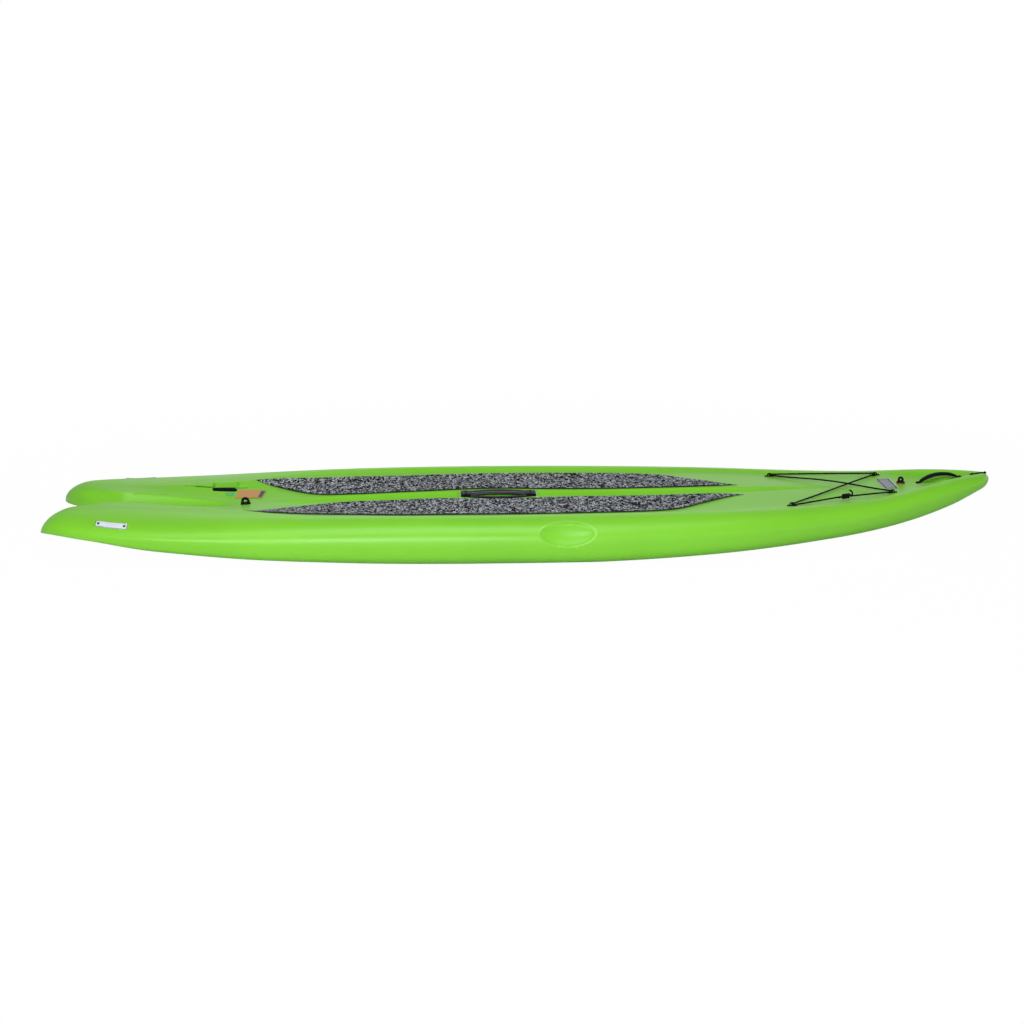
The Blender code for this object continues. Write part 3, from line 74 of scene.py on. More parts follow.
bl_info = {
    "name": "Paddle Board",
    "version": (1, 0, 0),
    "blender": (4, 5, 0),
    "location": "View3D > Sidebar > Paddle Board",
    "description": "Builds a stand-up paddle board with its pads, handles, fins and deck cord",
    "category": "Add Mesh",
}

# Sizes of the hull
LENGTH = 2.957
BEAM = 0.914
THICKNESS = 0.147
TAIL_PLAN_ROUND = 0.15
TAIL_TOP_ROUND = 0.09
NOSE_PLAN_ROUND = 0.04
NOSE_TOP_ROUND = 0.022
RAIL_POWER = 2.2

# Seats of the fittings
GAP = 0.0003
SEAT_DEPTH = 0.0008
SEAT_MARGIN = 0.0006
PAD_GAP = 0.0007

# Centre carry handle
HANDLE_STATION = -0.0561
FRAME_LENGTH = 0.238
FRAME_WIDTH = 0.120
FRAME_END_WIDTH = 0.062
FRAME_THICKNESS = 0.004
MOUTH_LENGTH = 0.170
MOUTH_WIDTH = 0.082
MOUTH_END_WIDTH = 0.040
POCKET_MARGIN = 0.004
POCKET_DEPTH = 0.050
BLOCK_LENGTH = 0.030
BLOCK_WIDTH = 0.056
BLOCK_RISE = 0.0035
GRIP_HEIGHT = 0.0115
GRIP_WIDTH = 0.020
GRIP_BOW = 0.003

# Bow handle
BOW_HANDLE_STATION = 0.8925
BOW_HANDLE_LENGTH = 0.140
BOW_HANDLE_WIDTH = 0.023
BOW_HANDLE_RISE = 0.0245
BOW_HANDLE_THICKNESS = 0.010
BOW_FOOT_LENGTH = 0.014
BOW_FOOT_THICKNESS = 0.003
BOW_SCOOP_LENGTH = 0.106
BOW_SCOOP_WIDTH = 0.056
BOW_SCOOP_DEPTH = 0.026

# Hand scoops in the rails
SIDE_SCOOP_STATION = 0.0727
SIDE_SCOOP_LENGTH = 0.168
SIDE_SCOOP_HEIGHT = 0.083
SIDE_SCOOP_DEPTH = 0.020
SIDE_SCOOP_TILT = 0.45
SIDE_SCOOP_Z_SHARE = 0.768

# Folding fins and their wells
FIN_STATION = -0.629
FIN_Y = 0.160
FIN_THICKNESS = 0.009
LEVER_THICKNESS = 0.014
LEVER_TOP = 0.0275
LEVER_NOSE = 0.0095
LEVER_FORE = 0.0095
LEVER_AFT = 0.0625
FIN_PIVOT_DEPTH = LEVER_TOP + 0.002
HUB_RADIUS = 0.0085
WELL_AFT = 0.157
WELL_FORE = 0.044
WELL_WIDTH = LEVER_THICKNESS + 0.004
FINGER_AFT = LEVER_AFT + 0.0045
FINGER_FORE = LEVER_FORE + 0.0045
FINGER_INBOARD = 0.029
FINGER_OUTBOARD = 0.040
FINGER_CORNER = 0.008
FINGER_FLOOR = 0.0075
PIN_RADIUS = 0.003
PIN_BITE = 0.0045

# Vent plug
VENT_STATION = 0.8103
VENT_HEAD_RADIUS = 0.0135
VENT_HEAD_THICKNESS = 0.004
VENT_SHANK_RADIUS = 0.006
VENT_SHANK_LENGTH = 0.013
VENT_BORE_RADIUS = 0.0066
VENT_RING_SECTION = 0.0021
VENT_RING_RADIUS = VENT_HEAD_RADIUS - VENT_RING_SECTION
VENT_TAB_LENGTH = 0.019
VENT_TAB_HEIGHT = 0.017
VENT_TAB_THICKNESS = 0.005
VENT_TAB_HOLE = 0.0027

# Eyes and the cord
CORD_RADIUS = 0.0025
CORD_TURN = 0.0085
CORD_CLEARANCE = 0.0009
KNOT_TURNS = 4
KNOT_SHARE = 0.53
EYE_REAR_STATION = 0.5502
EYE_REAR_Y = 0.2145
EYE_FRONT_STATION = 0.7731
EYE_FRONT_Y = 0.1295
EYE_ROWS = ((EYE_REAR_STATION, EYE_REAR_Y, "rear"), (EYE_FRONT_STATION, EYE_FRONT_Y, "front"))
EYE_LENGTH = 0.0306
EYE_WIDTH = 0.013
EYE_BASE = 0.0025
EYE_WIRE = 0.0020
EYE_SPAN = 0.0066
EYE_SCREW_X = 0.0119
EYE_SCREW_HEAD = 0.0029
CORD_LIFT = 0.0057
EYE_HEIGHT = 0.0122
KNOT_PITCH = 0.0064
KNOT_LIFT = 0.0054
LEASH_STATION = -0.5945
LEASH_LENGTH = 0.031
LEASH_WIDTH = 0.029
LEASH_SCREW_Y = 0.0092
LEASH_BASE = 0.0035
LEASH_WIRE = 0.0042
LEASH_RADIUS = 0.0092
LEASH_HEIGHT = 0.0224
NOSE_EYE_IN = 0.0095
NOSE_EYE_LENGTH = 0.0505
NOSE_EYE_WIDTH = 0.012
NOSE_EYE_STRAP = 0.0025
NOSE_EYE_RING = 0.0034
NOSE_EYE_HOLE = 0.0015

# Plates and the tag
PLATE_GAP = 0.0006
BADGE_STATION = -0.8455
BADGE_LENGTH = 0.098
BADGE_Y_SHARE = 0.88
BADGE_SLOPE = 0.10
BADGE_WIDTH = 0.033
BADGE_THICKNESS = 0.0012
BADGE_BORDER = 0.0014
BADGE_MARK_LENGTH = 0.0068
BADGE_MARK_HEIGHT = 0.011
RIVET_INSET = 0.0085
RIVET_HEAD = 0.0028
RIVET_RADIUS = 0.0014
RIVET_DEPTH = 0.0024
BOW_PLATE_STATION = 0.7805
BOW_PLATE_LENGTH = 0.046
BOW_PLATE_WIDTH = 0.144
BOW_PLATE_THICKNESS = 0.0010
TAG_GAP = 0.0011
TAG_LENGTH = 0.088
TAG_WIDTH = 0.073
TAG_TURN = -0.11
TAG_THICKNESS = 0.0008
TAG_STATION = -0.5891
TAG_Y = 0.1005
TIE_LENGTH = 0.025
TIE_WIDTH = 0.018
TIE_AWAY = 0.021
TIE_RADIUS = 0.0011

# Screws
SCREW_RADIUS = 0.0019
SCREW_HEAD_RADIUS = 0.0042
SCREW_HEAD_HEIGHT = 0.0022
SCREW_LENGTH = 0.0105

HALF_LENGTH = LENGTH / 2
HALF_BEAM = BEAM / 2
TAIL_TIP_Y = 0.497 * HALF_BEAM
TAIL_TIP_Z = 0.535 * THICKNESS
NOSE_Z = 1.17 * THICKNESS
NOTCH_STATION = -0.859
NOTCH_X = NOTCH_STATION * HALF_LENGTH
TUNNEL_HALF = 0.32 * HALF_BEAM
GROOVE_RAMP = 0.012
GRAINED_SHARE = 0.94


class PaddleBoardSizes(bpy.types.PropertyGroup):
    lip_radius: FloatProperty(
        name="Lip radius", description="Rounding of the lips of the wells and pockets", default=0.0026,
        min=0.0005, max=0.006, unit="LENGTH")
    pad_thickness: FloatProperty(
        name="Pad thickness", description="Thickness of the deck pads", default=0.0045, min=0.002,
        max=0.008, unit="LENGTH")
    pad_edge: FloatProperty(
        name="Pad edge", description="Rounding of a pad's top edge", default=0.0022, min=0.0005,
        max=0.004, unit="LENGTH")
    speck: FloatProperty(
        name="Speck size", description="Width of the blotches in the pads' foam", default=0.0064,
        min=0.004, max=0.04, unit="LENGTH")
    frame_edge: FloatProperty(
        name="Frame edge", description="Rounding of the handle frame's edges", default=0.0014,
        min=0.0003, max=0.002, unit="LENGTH")
    braid: FloatProperty(
        name="Braid pitch", description="Length of one cross of the cord's sheath", default=0.0022,
        min=0.0008, max=0.006, unit="LENGTH")
    station_step: FloatProperty(
        name="Station step", description="Longest distance between two sections of the hull",
        default=0.012, min=0.005, max=0.04, unit="LENGTH")
    turn_steps: IntProperty(
        name="Rail steps", description="Facets round the rail", default=38, min=8, max=60)


class PaddleBoardColours(bpy.types.PropertyGroup):
    shell: FloatVectorProperty(
        name="Shell", description="Green of the moulded hull", subtype="COLOR", size=3, min=0, max=1,
        default=(0.205, 0.615, 0.028))
    plastic: FloatVectorProperty(
        name="Plastic", description="Black of the moulded fittings", subtype="COLOR", size=3, min=0,
        max=1, default=(0.009, 0.010, 0.012))
    foam_dark: FloatVectorProperty(
        name="Foam, dark", description="Darkest blotches of the pads", subtype="COLOR", size=3, min=0,
        max=1, default=(0.004, 0.005, 0.006))
    foam_mid: FloatVectorProperty(
        name="Foam, grey", description="Grey of the pads", subtype="COLOR", size=3, min=0, max=1,
        default=(0.12, 0.131, 0.143))
    foam_light: FloatVectorProperty(
        name="Foam, light", description="Lightest blotches of the pads", subtype="COLOR", size=3,
        min=0, max=1, default=(0.48, 0.505, 0.54))
    cord: FloatVectorProperty(
        name="Cord", description="Black of the cord's sheath", subtype="COLOR", size=3, min=0, max=1,
        default=(0.006, 0.006, 0.007))
    seal: FloatVectorProperty(
        name="Seal", description="Orange-brown of the vent's rubber seal", subtype="COLOR", size=3,
        min=0, max=1, default=(0.42, 0.10, 0.025))
    badge: FloatVectorProperty(
        name="Badge", description="Pale face of a badge plate", subtype="COLOR", size=3, min=0, max=1,
        default=(0.74, 0.79, 0.86))
    plate: FloatVectorProperty(
        name="Bow plate", description="Grey face of the bow plate", subtype="COLOR", size=3, min=0,
        max=1, default=(0.26, 0.29, 0.31))
    card: FloatVectorProperty(
        name="Card", description="Kraft card of the tag", subtype="COLOR", size=3, min=0, max=1,
        default=(0.53, 0.28, 0.105))
    tie: FloatVectorProperty(
        name="Tie", description="Teal of the tag's tie", subtype="COLOR", size=3, min=0, max=1,
        default=(0.07, 0.36, 0.29))


def sizes():
    return bpy.context.scene.paddle_board_sizes


def colours():
    return bpy.context.scene.paddle_board_colours


# Lines of the hull

def station(share):
    """The X of a station given as a share of half the board's length."""
    return share * HALF_LENGTH


def fair_curve(points):
    """A natural cubic spline through (station, value) points, bent like a batten round pins."""
    xs, ys = np.array(points, float).T
    gaps = np.diff(xs)
    count = len(xs)
    system = np.eye(count)
    load = np.zeros(count)
    for i in range(1, count - 1):
        system[i, i - 1:i + 2] = gaps[i - 1], 2 * (gaps[i - 1] + gaps[i]), gaps[i]
        load[i] = 6 * ((ys[i + 1] - ys[i]) / gaps[i] - (ys[i] - ys[i - 1]) / gaps[i - 1])
    bend = np.linalg.solve(system, load)

    def value(x):
        x = min(max(x, xs[0]), xs[-1])
        i = min(int(np.searchsorted(xs, x, side="right")) - 1, count - 2)
        h = gaps[i]
        a = (xs[i + 1] - x) / h
        b = (x - xs[i]) / h
        curved = (a ** 3 - a) * bend[i] + (b ** 3 - b) * bend[i + 1]
        return float(a * ys[i] + b * ys[i + 1] + curved * h * h / 6)

    return value


# Lines of the hull, from the stern (-1) to the bow (1). Widths are shares of half the beam and
# heights are shares of the thickness.
half_beam_line = fair_curve([
    (-1, 0.67), (-0.88, 0.795), (-0.676, 0.908), (-0.473, 0.963), (-0.27, 0.989), (-0.07, 1.0),
    (0.135, 0.985), (0.338, 0.919), (0.541, 0.788), (0.676, 0.656), (0.812, 0.47), (0.913, 0.285),
    (0.974, 0.149), (1, 0.092)])
rail_line = fair_curve([
    (-1, 0.42), (-0.88, 0.44), (-0.717, 0.38), (-0.595, 0.30), (-0.406, 0.25), (-0.1, 0.234),
    (0.277, 0.235), (0.42, 0.205), (0.6, 0.19), (0.8, 0.15), (0.9, 0.15), (1, 0.09)])
crown_line = fair_curve([
    (-1, 0.93), (-0.88, 0.94), (-0.717, 0.937), (-0.595, 0.945), (-0.406, 0.98), (-0.19, 0.997),
    (0, 0.998), (0.27, 0.995), (0.541, 0.99), (0.66, 1.008), (0.771, 1.078), (0.866, 1.203),
    (0.92, 1.260), (0.954, 1.280), (1, 1.288)])
keel_line = fair_curve([
    (-1, 0.58), (-0.93, 0.57), (-0.859, 0.49), (-0.788, 0.376), (-0.717, 0.300), (-0.65, 0.235),
    (-0.59, 0.182), (-0.5, 0.124), (-0.425, 0.086), (-0.34, 0.045), (-0.26, 0.018), (-0.13, 0), (0.13, 0),
    (0.30, 0.045), (0.473, 0.103), (0.6, 0.173), (0.646, 0.205), (0.737, 0.30), (0.831, 0.467),
    (0.88, 0.595), (0.93, 0.76), (0.967, 0.92), (1, 1.05)])
beam_height_line = fair_curve([
    (-1, 0.64), (-0.88, 0.625), (-0.744, 0.575), (-0.541, 0.51), (-0.27, 0.49), (0, 0.503), (0.27, 0.524),
    (0.541, 0.612), (0.676, 0.707), (0.812, 0.87), (0.913, 1.02), (0.974, 1.12), (1, 1.17)])
flat_line = fair_curve([
    (-1, 0.85), (-0.7, 0.74), (-0.3, 0.57), (0, 0.525), (0.3, 0.5), (0.6, 0.3), (0.8, 0.12), (1, 0.05)])
bilge_power_line = fair_curve([
    (-1, 4.5), (-0.7, 4.0), (-0.3, 3.1), (0, 3.0), (0.3, 3.0), (0.8, 2.2), (1, 2.0)])
tunnel_line = fair_curve([
    (-1, 0), (-0.93, 0.04), (-0.859, 0.11), (-0.7, 0.11), (-0.5, 0.07), (-0.3, 0.02), (-0.2, 0), (1, 0)])

# Lines of the deck inside its crown: depth of the dish, how far out it reaches, how sharp its rim
# is, how much its floor is cambered, and the groove along the middle.
dish_line = fair_curve([
    (-1, 0), (-0.92, 0), (-0.798, 0.07), (-0.717, 0.14), (-0.676, 0.175), (-0.63, 0.208),
    (-0.595, 0.197), (-0.473, 0.184), (-0.406, 0.16), (-0.338, 0.143), (-0.27, 0.126), (-0.19, 0.10),
    (-0.1, 0.092), (0.1, 0.089), (0.25, 0.080), (0.338, 0.058), (0.4, 0.041), (0.46, 0.028), (0.55, 0.018),
    (0.61, 0.012), (0.70, 0.012), (0.77, 0.020), (0.85, 0.105), (0.93, 0.08), (0.97, 0.03), (1, 0)])
dish_half_line = fair_curve([
    (-1, 0.34), (-0.88, 0.35), (-0.717, 0.36), (-0.656, 0.416), (-0.609, 0.44), (-0.541, 0.57),
    (-0.473, 0.69), (-0.406, 0.74), (-0.338, 0.78), (-0.2, 0.81), (0, 0.81), (1, 0.81)])
dish_power_line = fair_curve([
    (-1, 2), (-0.6, 2), (-0.541, 1.7), (-0.473, 1.7), (-0.406, 2.7), (-0.338, 3.8), (-0.27, 6),
    (-0.19, 9), (-0.1, 10), (0.25, 10), (0.338, 9), (0.55, 8), (0.65, 6), (0.8, 3), (1, 2)])
camber_line = fair_curve([
    (-1, 0), (0, 0), (0.15, 0), (0.28, 0.02), (0.4, 0.045), (0.55, 0.09), (0.65, 0.07), (0.77, 0.03),
    (0.85, 0), (1, 0)])
groove_half_line = fair_curve([
    (-1, 0.14), (-0.88, 0.15), (-0.798, 0.145), (-0.717, 0.125), (-0.609, 0.05), (-0.541, 0.052),
    (-0.37, 0.12), (-0.1, 0.12), (0.3, 0.12), (0.466, 0.077), (0.69, 0.04), (1, 0.03)])
groove_depth_line = fair_curve([
    (-1, 0.27), (-0.859, 0.25), (-0.798, 0.20), (-0.717, 0.13), (-0.656, 0.06), (-0.609, 0), (-0.55, 0),
    (-0.50, 0.025), (-0.44, 0.062), (-0.37, 0.088), (-0.1, 0.092), (0.3, 0.090), (0.466, 0.062),
    (0.6, 0.025), (0.69, 0), (1, 0)])

# Edges of a deck pad, as shares of half the beam
PAD_AFT = -0.585
PAD_FORE = 0.4655
pad_outer_line = fair_curve([
    (-0.585, 0.477), (-0.541, 0.515), (-0.47, 0.549), (-0.38, 0.577), (-0.19, 0.619), (-0.03, 0.632),
    (0.15, 0.613), (0.27, 0.570), (0.32, 0.508), (0.354, 0.415), (0.38, 0.345), (0.407, 0.274),
    (0.436, 0.205), (0.4655, 0.15)])
pad_inner_line = fair_curve([
    (-0.585, 0.477), (-0.521, 0.324), (-0.47, 0.212), (-0.41, 0.142), (-0.35, 0.124), (-0.2, 0.130),
    (-0.14, 0.151), (-0.0561, 0.172), (0.02, 0.151), (0.07, 0.135), (0.25, 0.131), (0.4, 0.133),
    (0.4655, 0.15)])


def smooth(t):
    """Goes from 0 to 1 with level ends."""
    t = min(max(t, 0.0), 1.0)
    return t * t * (3 - 2 * t)


def round_end(distance, length):
    """A quarter round that rises from 0 at an end to 1 at the given length from it."""
    t = min(max(distance / length, 0.0), 1.0)
    return math.sqrt(1 - (1 - t) ** 2)


def notch_edge(x):
    """Inner edge of a tail hull. It is 0 forward of the notch between the two."""
    u = (NOTCH_X - x) / (HALF_LENGTH + NOTCH_X)
    if u <= 0:
        return 0.0
    return TAIL_TIP_Y * (1 - (1 - min(u, 1.0) ** 1.2) ** 0.5)


def half_beam(x):
    side = min(half_beam_line(x / HALF_LENGTH), 1.0) * HALF_BEAM
    if x < 0:
        return TAIL_TIP_Y + (side - TAIL_TIP_Y) * round_end(HALF_LENGTH + x, TAIL_PLAN_ROUND)
    return side * round_end(HALF_LENGTH - x, NOSE_PLAN_ROUND)


def crown_half(x, inner):
    """Where the deck rolls over into the rail."""
    most = 0.5 if x < NOTCH_X else 0.85
    rail = min(rail_line(x / HALF_LENGTH) * HALF_BEAM, most * (half_beam(x) - inner))
    return half_beam(x) - rail


def end_blend(z, x):
    """Draws a height in to the tips."""
    if x < 0:
        return TAIL_TIP_Z + (z - TAIL_TIP_Z) * round_end(HALF_LENGTH + x, TAIL_TOP_ROUND)
    return NOSE_Z + (z - NOSE_Z) * round_end(HALF_LENGTH - x, NOSE_TOP_ROUND)


def groove_span(x, inner):
    """Half-width of the middle groove, or the width of a tail hull's inner dome."""
    return min(groove_half_line(x / HALF_LENGTH) * HALF_BEAM, 0.7 * (crown_half(x, inner) - inner))


def flat_half(x, inner):
    """Outer edge of the flat of the bottom."""
    return max(flat_line(x / HALF_LENGTH) * half_beam(x), inner + 0.3 * (half_beam(x) - inner))


def deck_z(x, y, inner=None):
    """Height of the upper surface, from the middle of the deck to the widest point of the rail."""
    share = x / HALF_LENGTH
    y = abs(y)
    if inner is None:
        inner = notch_edge(x)
    crown = crown_half(x, inner)
    top = crown_line(share) * THICKNESS
    z = top
    reach = min(dish_half_line(share) * HALF_BEAM, crown)
    if y < reach:
        dish = max(dish_line(share), 0) * THICKNESS
        camber = max(camber_line(share), 0) * THICKNESS
        out = y / reach
        z = top - dish - camber * out ** 2 + (dish + camber) * out ** dish_power_line(share)
    s = max((y - inner) / groove_span(x, inner), 0.0)
    if s < 1:
        tail = smooth((NOTCH_X - x) / 0.15)
        flat = smooth((abs(x - station(HANDLE_STATION)) - FRAME_LENGTH / 2 - 0.002) / GROOVE_RAMP)
        depth = max(groove_depth_line(share), 0) * THICKNESS * flat
        whole = z - keel_line(share) * THICKNESS
        depth += (whole - depth) * smooth((NOTCH_X - x) / 0.2) * 0.95
        hollow = 1 - s * s
        dome = 1 - math.sqrt(1 - (1 - s) ** 2)
        z -= depth * ((1 - tail) * hollow + tail * dome)
    if y > crown:
        u = min((y - crown) / (half_beam(x) - crown), 1.0)
        low = beam_height_line(share) * THICKNESS
        z = low + (top - low) * (1 - u ** RAIL_POWER) ** (1 / RAIL_POWER)
    return end_blend(z, x)


def bottom_z(x, y, inner=None):
    """Height of the under surface."""
    share = x / HALF_LENGTH
    y = abs(y)
    if inner is None:
        inner = notch_edge(x)
    z = max(keel_line(share), 0) * THICKNESS
    if y < TUNNEL_HALF:
        z += max(tunnel_line(share), 0) * THICKNESS * (1 - (y / TUNNEL_HALF) ** 2) ** 2
    flat = flat_half(x, inner)
    if y > flat:
        low = beam_height_line(share) * THICKNESS
        power = bilge_power_line(share)
        u = min((y - flat) / (half_beam(x) - flat), 1.0)
        z += (low - z) * (1 - (1 - u ** power) ** (1 / power))
    return end_blend(z, x)


# Making meshes

def side_normal(x, y, side):
    """The direction square to the deck at a point of one side."""
    step = 0.002
    slope_x = (deck_z(x + step, y) - deck_z(x - step, y)) / (2 * step)
    slope_y = (deck_z(x, y + step) - deck_z(x, y - step)) / (2 * step)
    return Vector((-slope_x, -side * slope_y, 1)).normalized()


def deck_place(x, y, sink=0.0, upright=False):
    """A frame on the deck: Z square to it, X forward along it."""
    step = 0.004
    normal = Vector((0, 0, 1))
    if not upright:
        slope_x = (deck_z(x + step, y) - deck_z(x - step, y)) / (2 * step)
        slope_y = (deck_z(x, y + step) - deck_z(x, y - step)) / (2 * step) if y else 0.0
        normal = Vector((-slope_x, -slope_y, 1)).normalized()
    forward = (Vector((1, 0, 0)) - normal * normal.x).normalized()
    across = normal.cross(forward)
    turn = Matrix((forward, across, normal)).transposed().to_4x4()
    at = Vector((x, y, deck_z(x, y))) - normal * sink
    return Matrix.Translation(at) @ turn


def shift(x=0.0, y=0.0, z=0.0):
    return Matrix.Translation((x, y, z))


ABOUT_X = Matrix.Rotation(math.radians(90), 4, "X")


def shade(thing, angle):
    thing.data.shade_smooth()
    thing.data.set_sharp_from_angle(angle=math.radians(angle))
    return thing


def body(name, points, faces, angle=35):
    """A piece from points and faces, with its faces turned outwards."""
    mesh = bpy.data.meshes.new(name)
    mesh.from_pydata([tuple(p) for p in points], [], faces)
    shape = bmesh.new()
    shape.from_mesh(mesh)
    bmesh.ops.recalc_face_normals(shape, faces=shape.faces)
    shape.to_mesh(mesh)
    shape.free()
    made = bpy.data.objects.new(name, mesh)
    bpy.context.scene.collection.objects.link(made)
    return shade(made, angle)


def skin(name, rings, angle=35, joined=False):
    """A closed body through rings of points.

    Joined runs the last ring on into the first. Otherwise both ends are filled from their middles.
    """
    count = len(rings[0])
    points = [p for ring in rings for p in ring]
    faces = []
    for i in range(len(rings) if joined else len(rings) - 1):
        here = i * count
        after = (i + 1) % len(rings) * count
        for j in range(count):
            k = (j + 1) % count
            faces.append((here + j, here + k, after + k, after + j))
    if not joined:
        for ring, start in ((rings[0], 0), (rings[-1], (len(rings) - 1) * count)):
            points.append(sum((Vector(p) for p in ring), Vector()) / count)
            faces += [(start + j, start + (j + 1) % count, len(points) - 1) for j in range(count)]
    return body(name, points, faces, angle)


def arc(centre, radius, start, end, steps):
    """Points of an arc, between two angles in degrees."""
    angles = [math.radians(start + (end - start) * i / steps) for i in range(steps + 1)]
    return [(centre[0] + radius * math.cos(a), centre[1] + radius * math.sin(a)) for a in angles]


def offset(outline, distance):
    """A closed outline moved outwards, square to itself. It may run either way round."""
    area = sum(a[0] * b[1] - b[0] * a[1] for a, b in zip(outline, outline[1:] + outline[:1]))
    way = math.copysign(1, area)
    moved = []
    for i, (x, y) in enumerate(outline):
        before = Vector(outline[i - 1])
        after = Vector(outline[(i + 1) % len(outline)])
        coming = (Vector((x, y)) - before).normalized()
        going = (after - Vector((x, y))).normalized()
        normal = Vector((coming.y + going.y, -coming.x - going.x)).normalized() * way
        reach = distance / max(normal.x * coming.y * way - normal.y * coming.x * way, 0.5)
        moved.append((x + normal.x * reach, y + normal.y * reach))
    return moved


def rounded(corners, radius, steps=6):
    """A closed outline with each corner rounded off."""
    line = []
    for i, corner in enumerate(corners):
        here = Vector(corner)
        before = Vector(corners[i - 1]) - here
        after = Vector(corners[(i + 1) % len(corners)]) - here
        trim = min(radius, 0.49 * before.length, 0.49 * after.length)
        start = here + before.normalized() * trim
        end = here + after.normalized() * trim
        for j in range(steps + 1):
            t = j / steps
            spot = start.lerp(here, t).lerp(here.lerp(end, t), t)
            line.append((spot.x, spot.y))
    return line


def rectangle(length, width):
    x, y = length / 2, width / 2
    return [(-x, -y), (x, -y), (x, y), (-x, y)]


def oval(length, width, sides=48, power=2.0):
    """A closed outline between an ellipse and, with a higher power, a rounded rectangle."""
    line = []
    for i in range(sides):
        c, s = math.cos(math.tau * i / sides), math.sin(math.tau * i / sides)
        line.append((math.copysign(abs(c) ** (2 / power), c) * length / 2,
                     math.copysign(abs(s) ** (2 / power), s) * width / 2))
    return line


def boat_outline(length, middle, end, corner=0.006, steps=36):
    """A closed outline with squared ends that swells to its full width in the middle."""
    def half(x):
        return (end + (middle - end) * math.cos(x / length * math.pi)) / 2

    reach = length / 2 - corner
    side = [(-length / 2, 0.0), (-length / 2, end / 2 - corner)]
    for i in range(1, 6):
        a = math.pi / 2 * i / 6
        side.append((-length / 2 + corner * (1 - math.cos(a)), half(-reach) - corner * (1 - math.sin(a))))
    for i in range(steps + 1):
        x = reach * (2 * i / steps - 1)
        side.append((x, half(x)))
    side += [(-x, y) for x, y in side[6:0:-1]]
    side.append((length / 2, 0.0))
    return side + [(x, -y) for x, y in side[-2:0:-1]]


def edge_levels(low, high, foot, brow, steps=4):
    """Levels of a slab with a rounded lower and upper edge, as (distance out, height) pairs."""
    turns = [math.pi / 2 * i / steps for i in range(steps + 1)]
    levels = [(-foot * (1 - math.sin(a)), low + foot * (1 - math.cos(a))) for a in turns]
    return levels + [(-brow * (1 - math.cos(a)), high - brow * (1 - math.sin(a))) for a in turns]


def stack(name, outline, levels, place=Matrix(), angle=35):
    """A body of like outlines, each moved out by its level's distance, at its level's height."""
    rings = [[place @ Vector((x, y, z)) for x, y in offset(outline, out)] for out, z in levels]
    return skin(name, rings, angle)


def turned(name, profile, place=Matrix(), sides=40, angle=35):
    """A solid of revolution about its place's Z, from the top of its profile to the bottom."""
    rings = []
    for radius, z in profile:
        turns = [math.tau * i / sides for i in range(sides)]
        rings.append([place @ Vector((radius * math.cos(a), radius * math.sin(a), z)) for a in turns])
    return skin(name, rings, angle)


def swept(name, spots, section_at, up=Vector((0, 0, 1)), place=Matrix(), angle=35, joined=False):
    """A body along a line of spots, whose section at each is a ring of (aside, upward) points."""
    rings = []
    count = len(spots)
    for i, spot in enumerate(spots):
        before = spots[i - 1] if i or joined else spot
        after = spots[(i + 1) % count] if i < count - 1 or joined else spot
        forward = (Vector(after) - Vector(before)).normalized()
        aside = up.cross(forward).normalized()
        lift = forward.cross(aside)
        rings.append([place @ (Vector(spot) + aside * a + lift * b) for a, b in section_at(i)])
    return skin(name, rings, angle, joined)


def settle(thing, angle=35):
    """Turns a piece's modifiers into its mesh."""
    seen = thing.evaluated_get(bpy.context.evaluated_depsgraph_get())
    mesh = bpy.data.meshes.new_from_object(seen)
    thing.modifiers.clear()
    thing.data = mesh
    return shade(thing, angle)


def combined(thing, others, operation="UNION", angle=35):
    """Joins other bodies to a piece, or cuts them out of it, and takes them away."""
    home = bpy.data.collections.new("being_combined")
    bpy.context.scene.collection.children.link(home)
    for other in others:
        bpy.context.scene.collection.objects.unlink(other)
        home.objects.link(other)
    modifier = thing.modifiers.new("combine", "BOOLEAN")
    modifier.operation = operation
    modifier.solver = "EXACT"
    modifier.operand_type = "COLLECTION"
    modifier.collection = home
    bpy.context.view_layer.update()
    settle(thing, angle)
    for other in list(home.objects):
        bpy.data.objects.remove(other, do_unlink=True)
    bpy.data.collections.remove(home)
    return thing


def dress(thing, nodes, finish, rides_on="board"):
    """Gives a piece its material, and says which nodes it stands for and what it moves with."""
    thing.data.materials.clear()
    thing.data.materials.append(bpy.data.materials[finish])
    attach(thing, rides_on)
    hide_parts(*nodes)
    return thing


# Materials

def node(tree, kind, inputs=None, **settings):
    """A shader node with its settings, and with values or links for the inputs that are named."""
    made = tree.nodes.new(kind)
    for key, value in settings.items():
        setattr(made, key, value)
    for key, value in (inputs or {}).items():
        socket = made.inputs[key]
        if isinstance(value, bpy.types.NodeSocket):
            tree.links.new(value, socket)
        else:
            socket.default_value = value
    return made


def maths(tree, operation, a, b=0.0, clamp=False):
    return node(tree, "ShaderNodeMath", {0: a, 1: b}, operation=operation, use_clamp=clamp).outputs[0]


def between(tree, value, low, high, to_low=0.0, to_high=1.0):
    """Maps a range smoothly to another."""
    made = node(tree, "ShaderNodeMapRange", {
        "Value": value, "From Min": low, "From Max": high, "To Min": to_low, "To Max": to_high},
        interpolation_type="SMOOTHSTEP")
    return made.outputs["Result"]


def blended(tree, share, a, b, kind="MIX"):
    """Mixes two colours."""
    made = node(tree, "ShaderNodeMix", {0: share, 6: a, 7: b}, data_type="RGBA", blend_type=kind)
    return made.outputs[2]


def rgba(colour, scale=1.0):
    return (*[min(c * scale, 1.0) for c in colour], 1.0)


def noise(tree, where, scale, detail=2.0, roughness=0.5, distortion=0.0):
    made = node(tree, "ShaderNodeTexNoise", {
        "Vector": where, "Scale": scale, "Detail": detail, "Roughness": roughness,
        "Distortion": distortion})
    return made.outputs["Fac"]


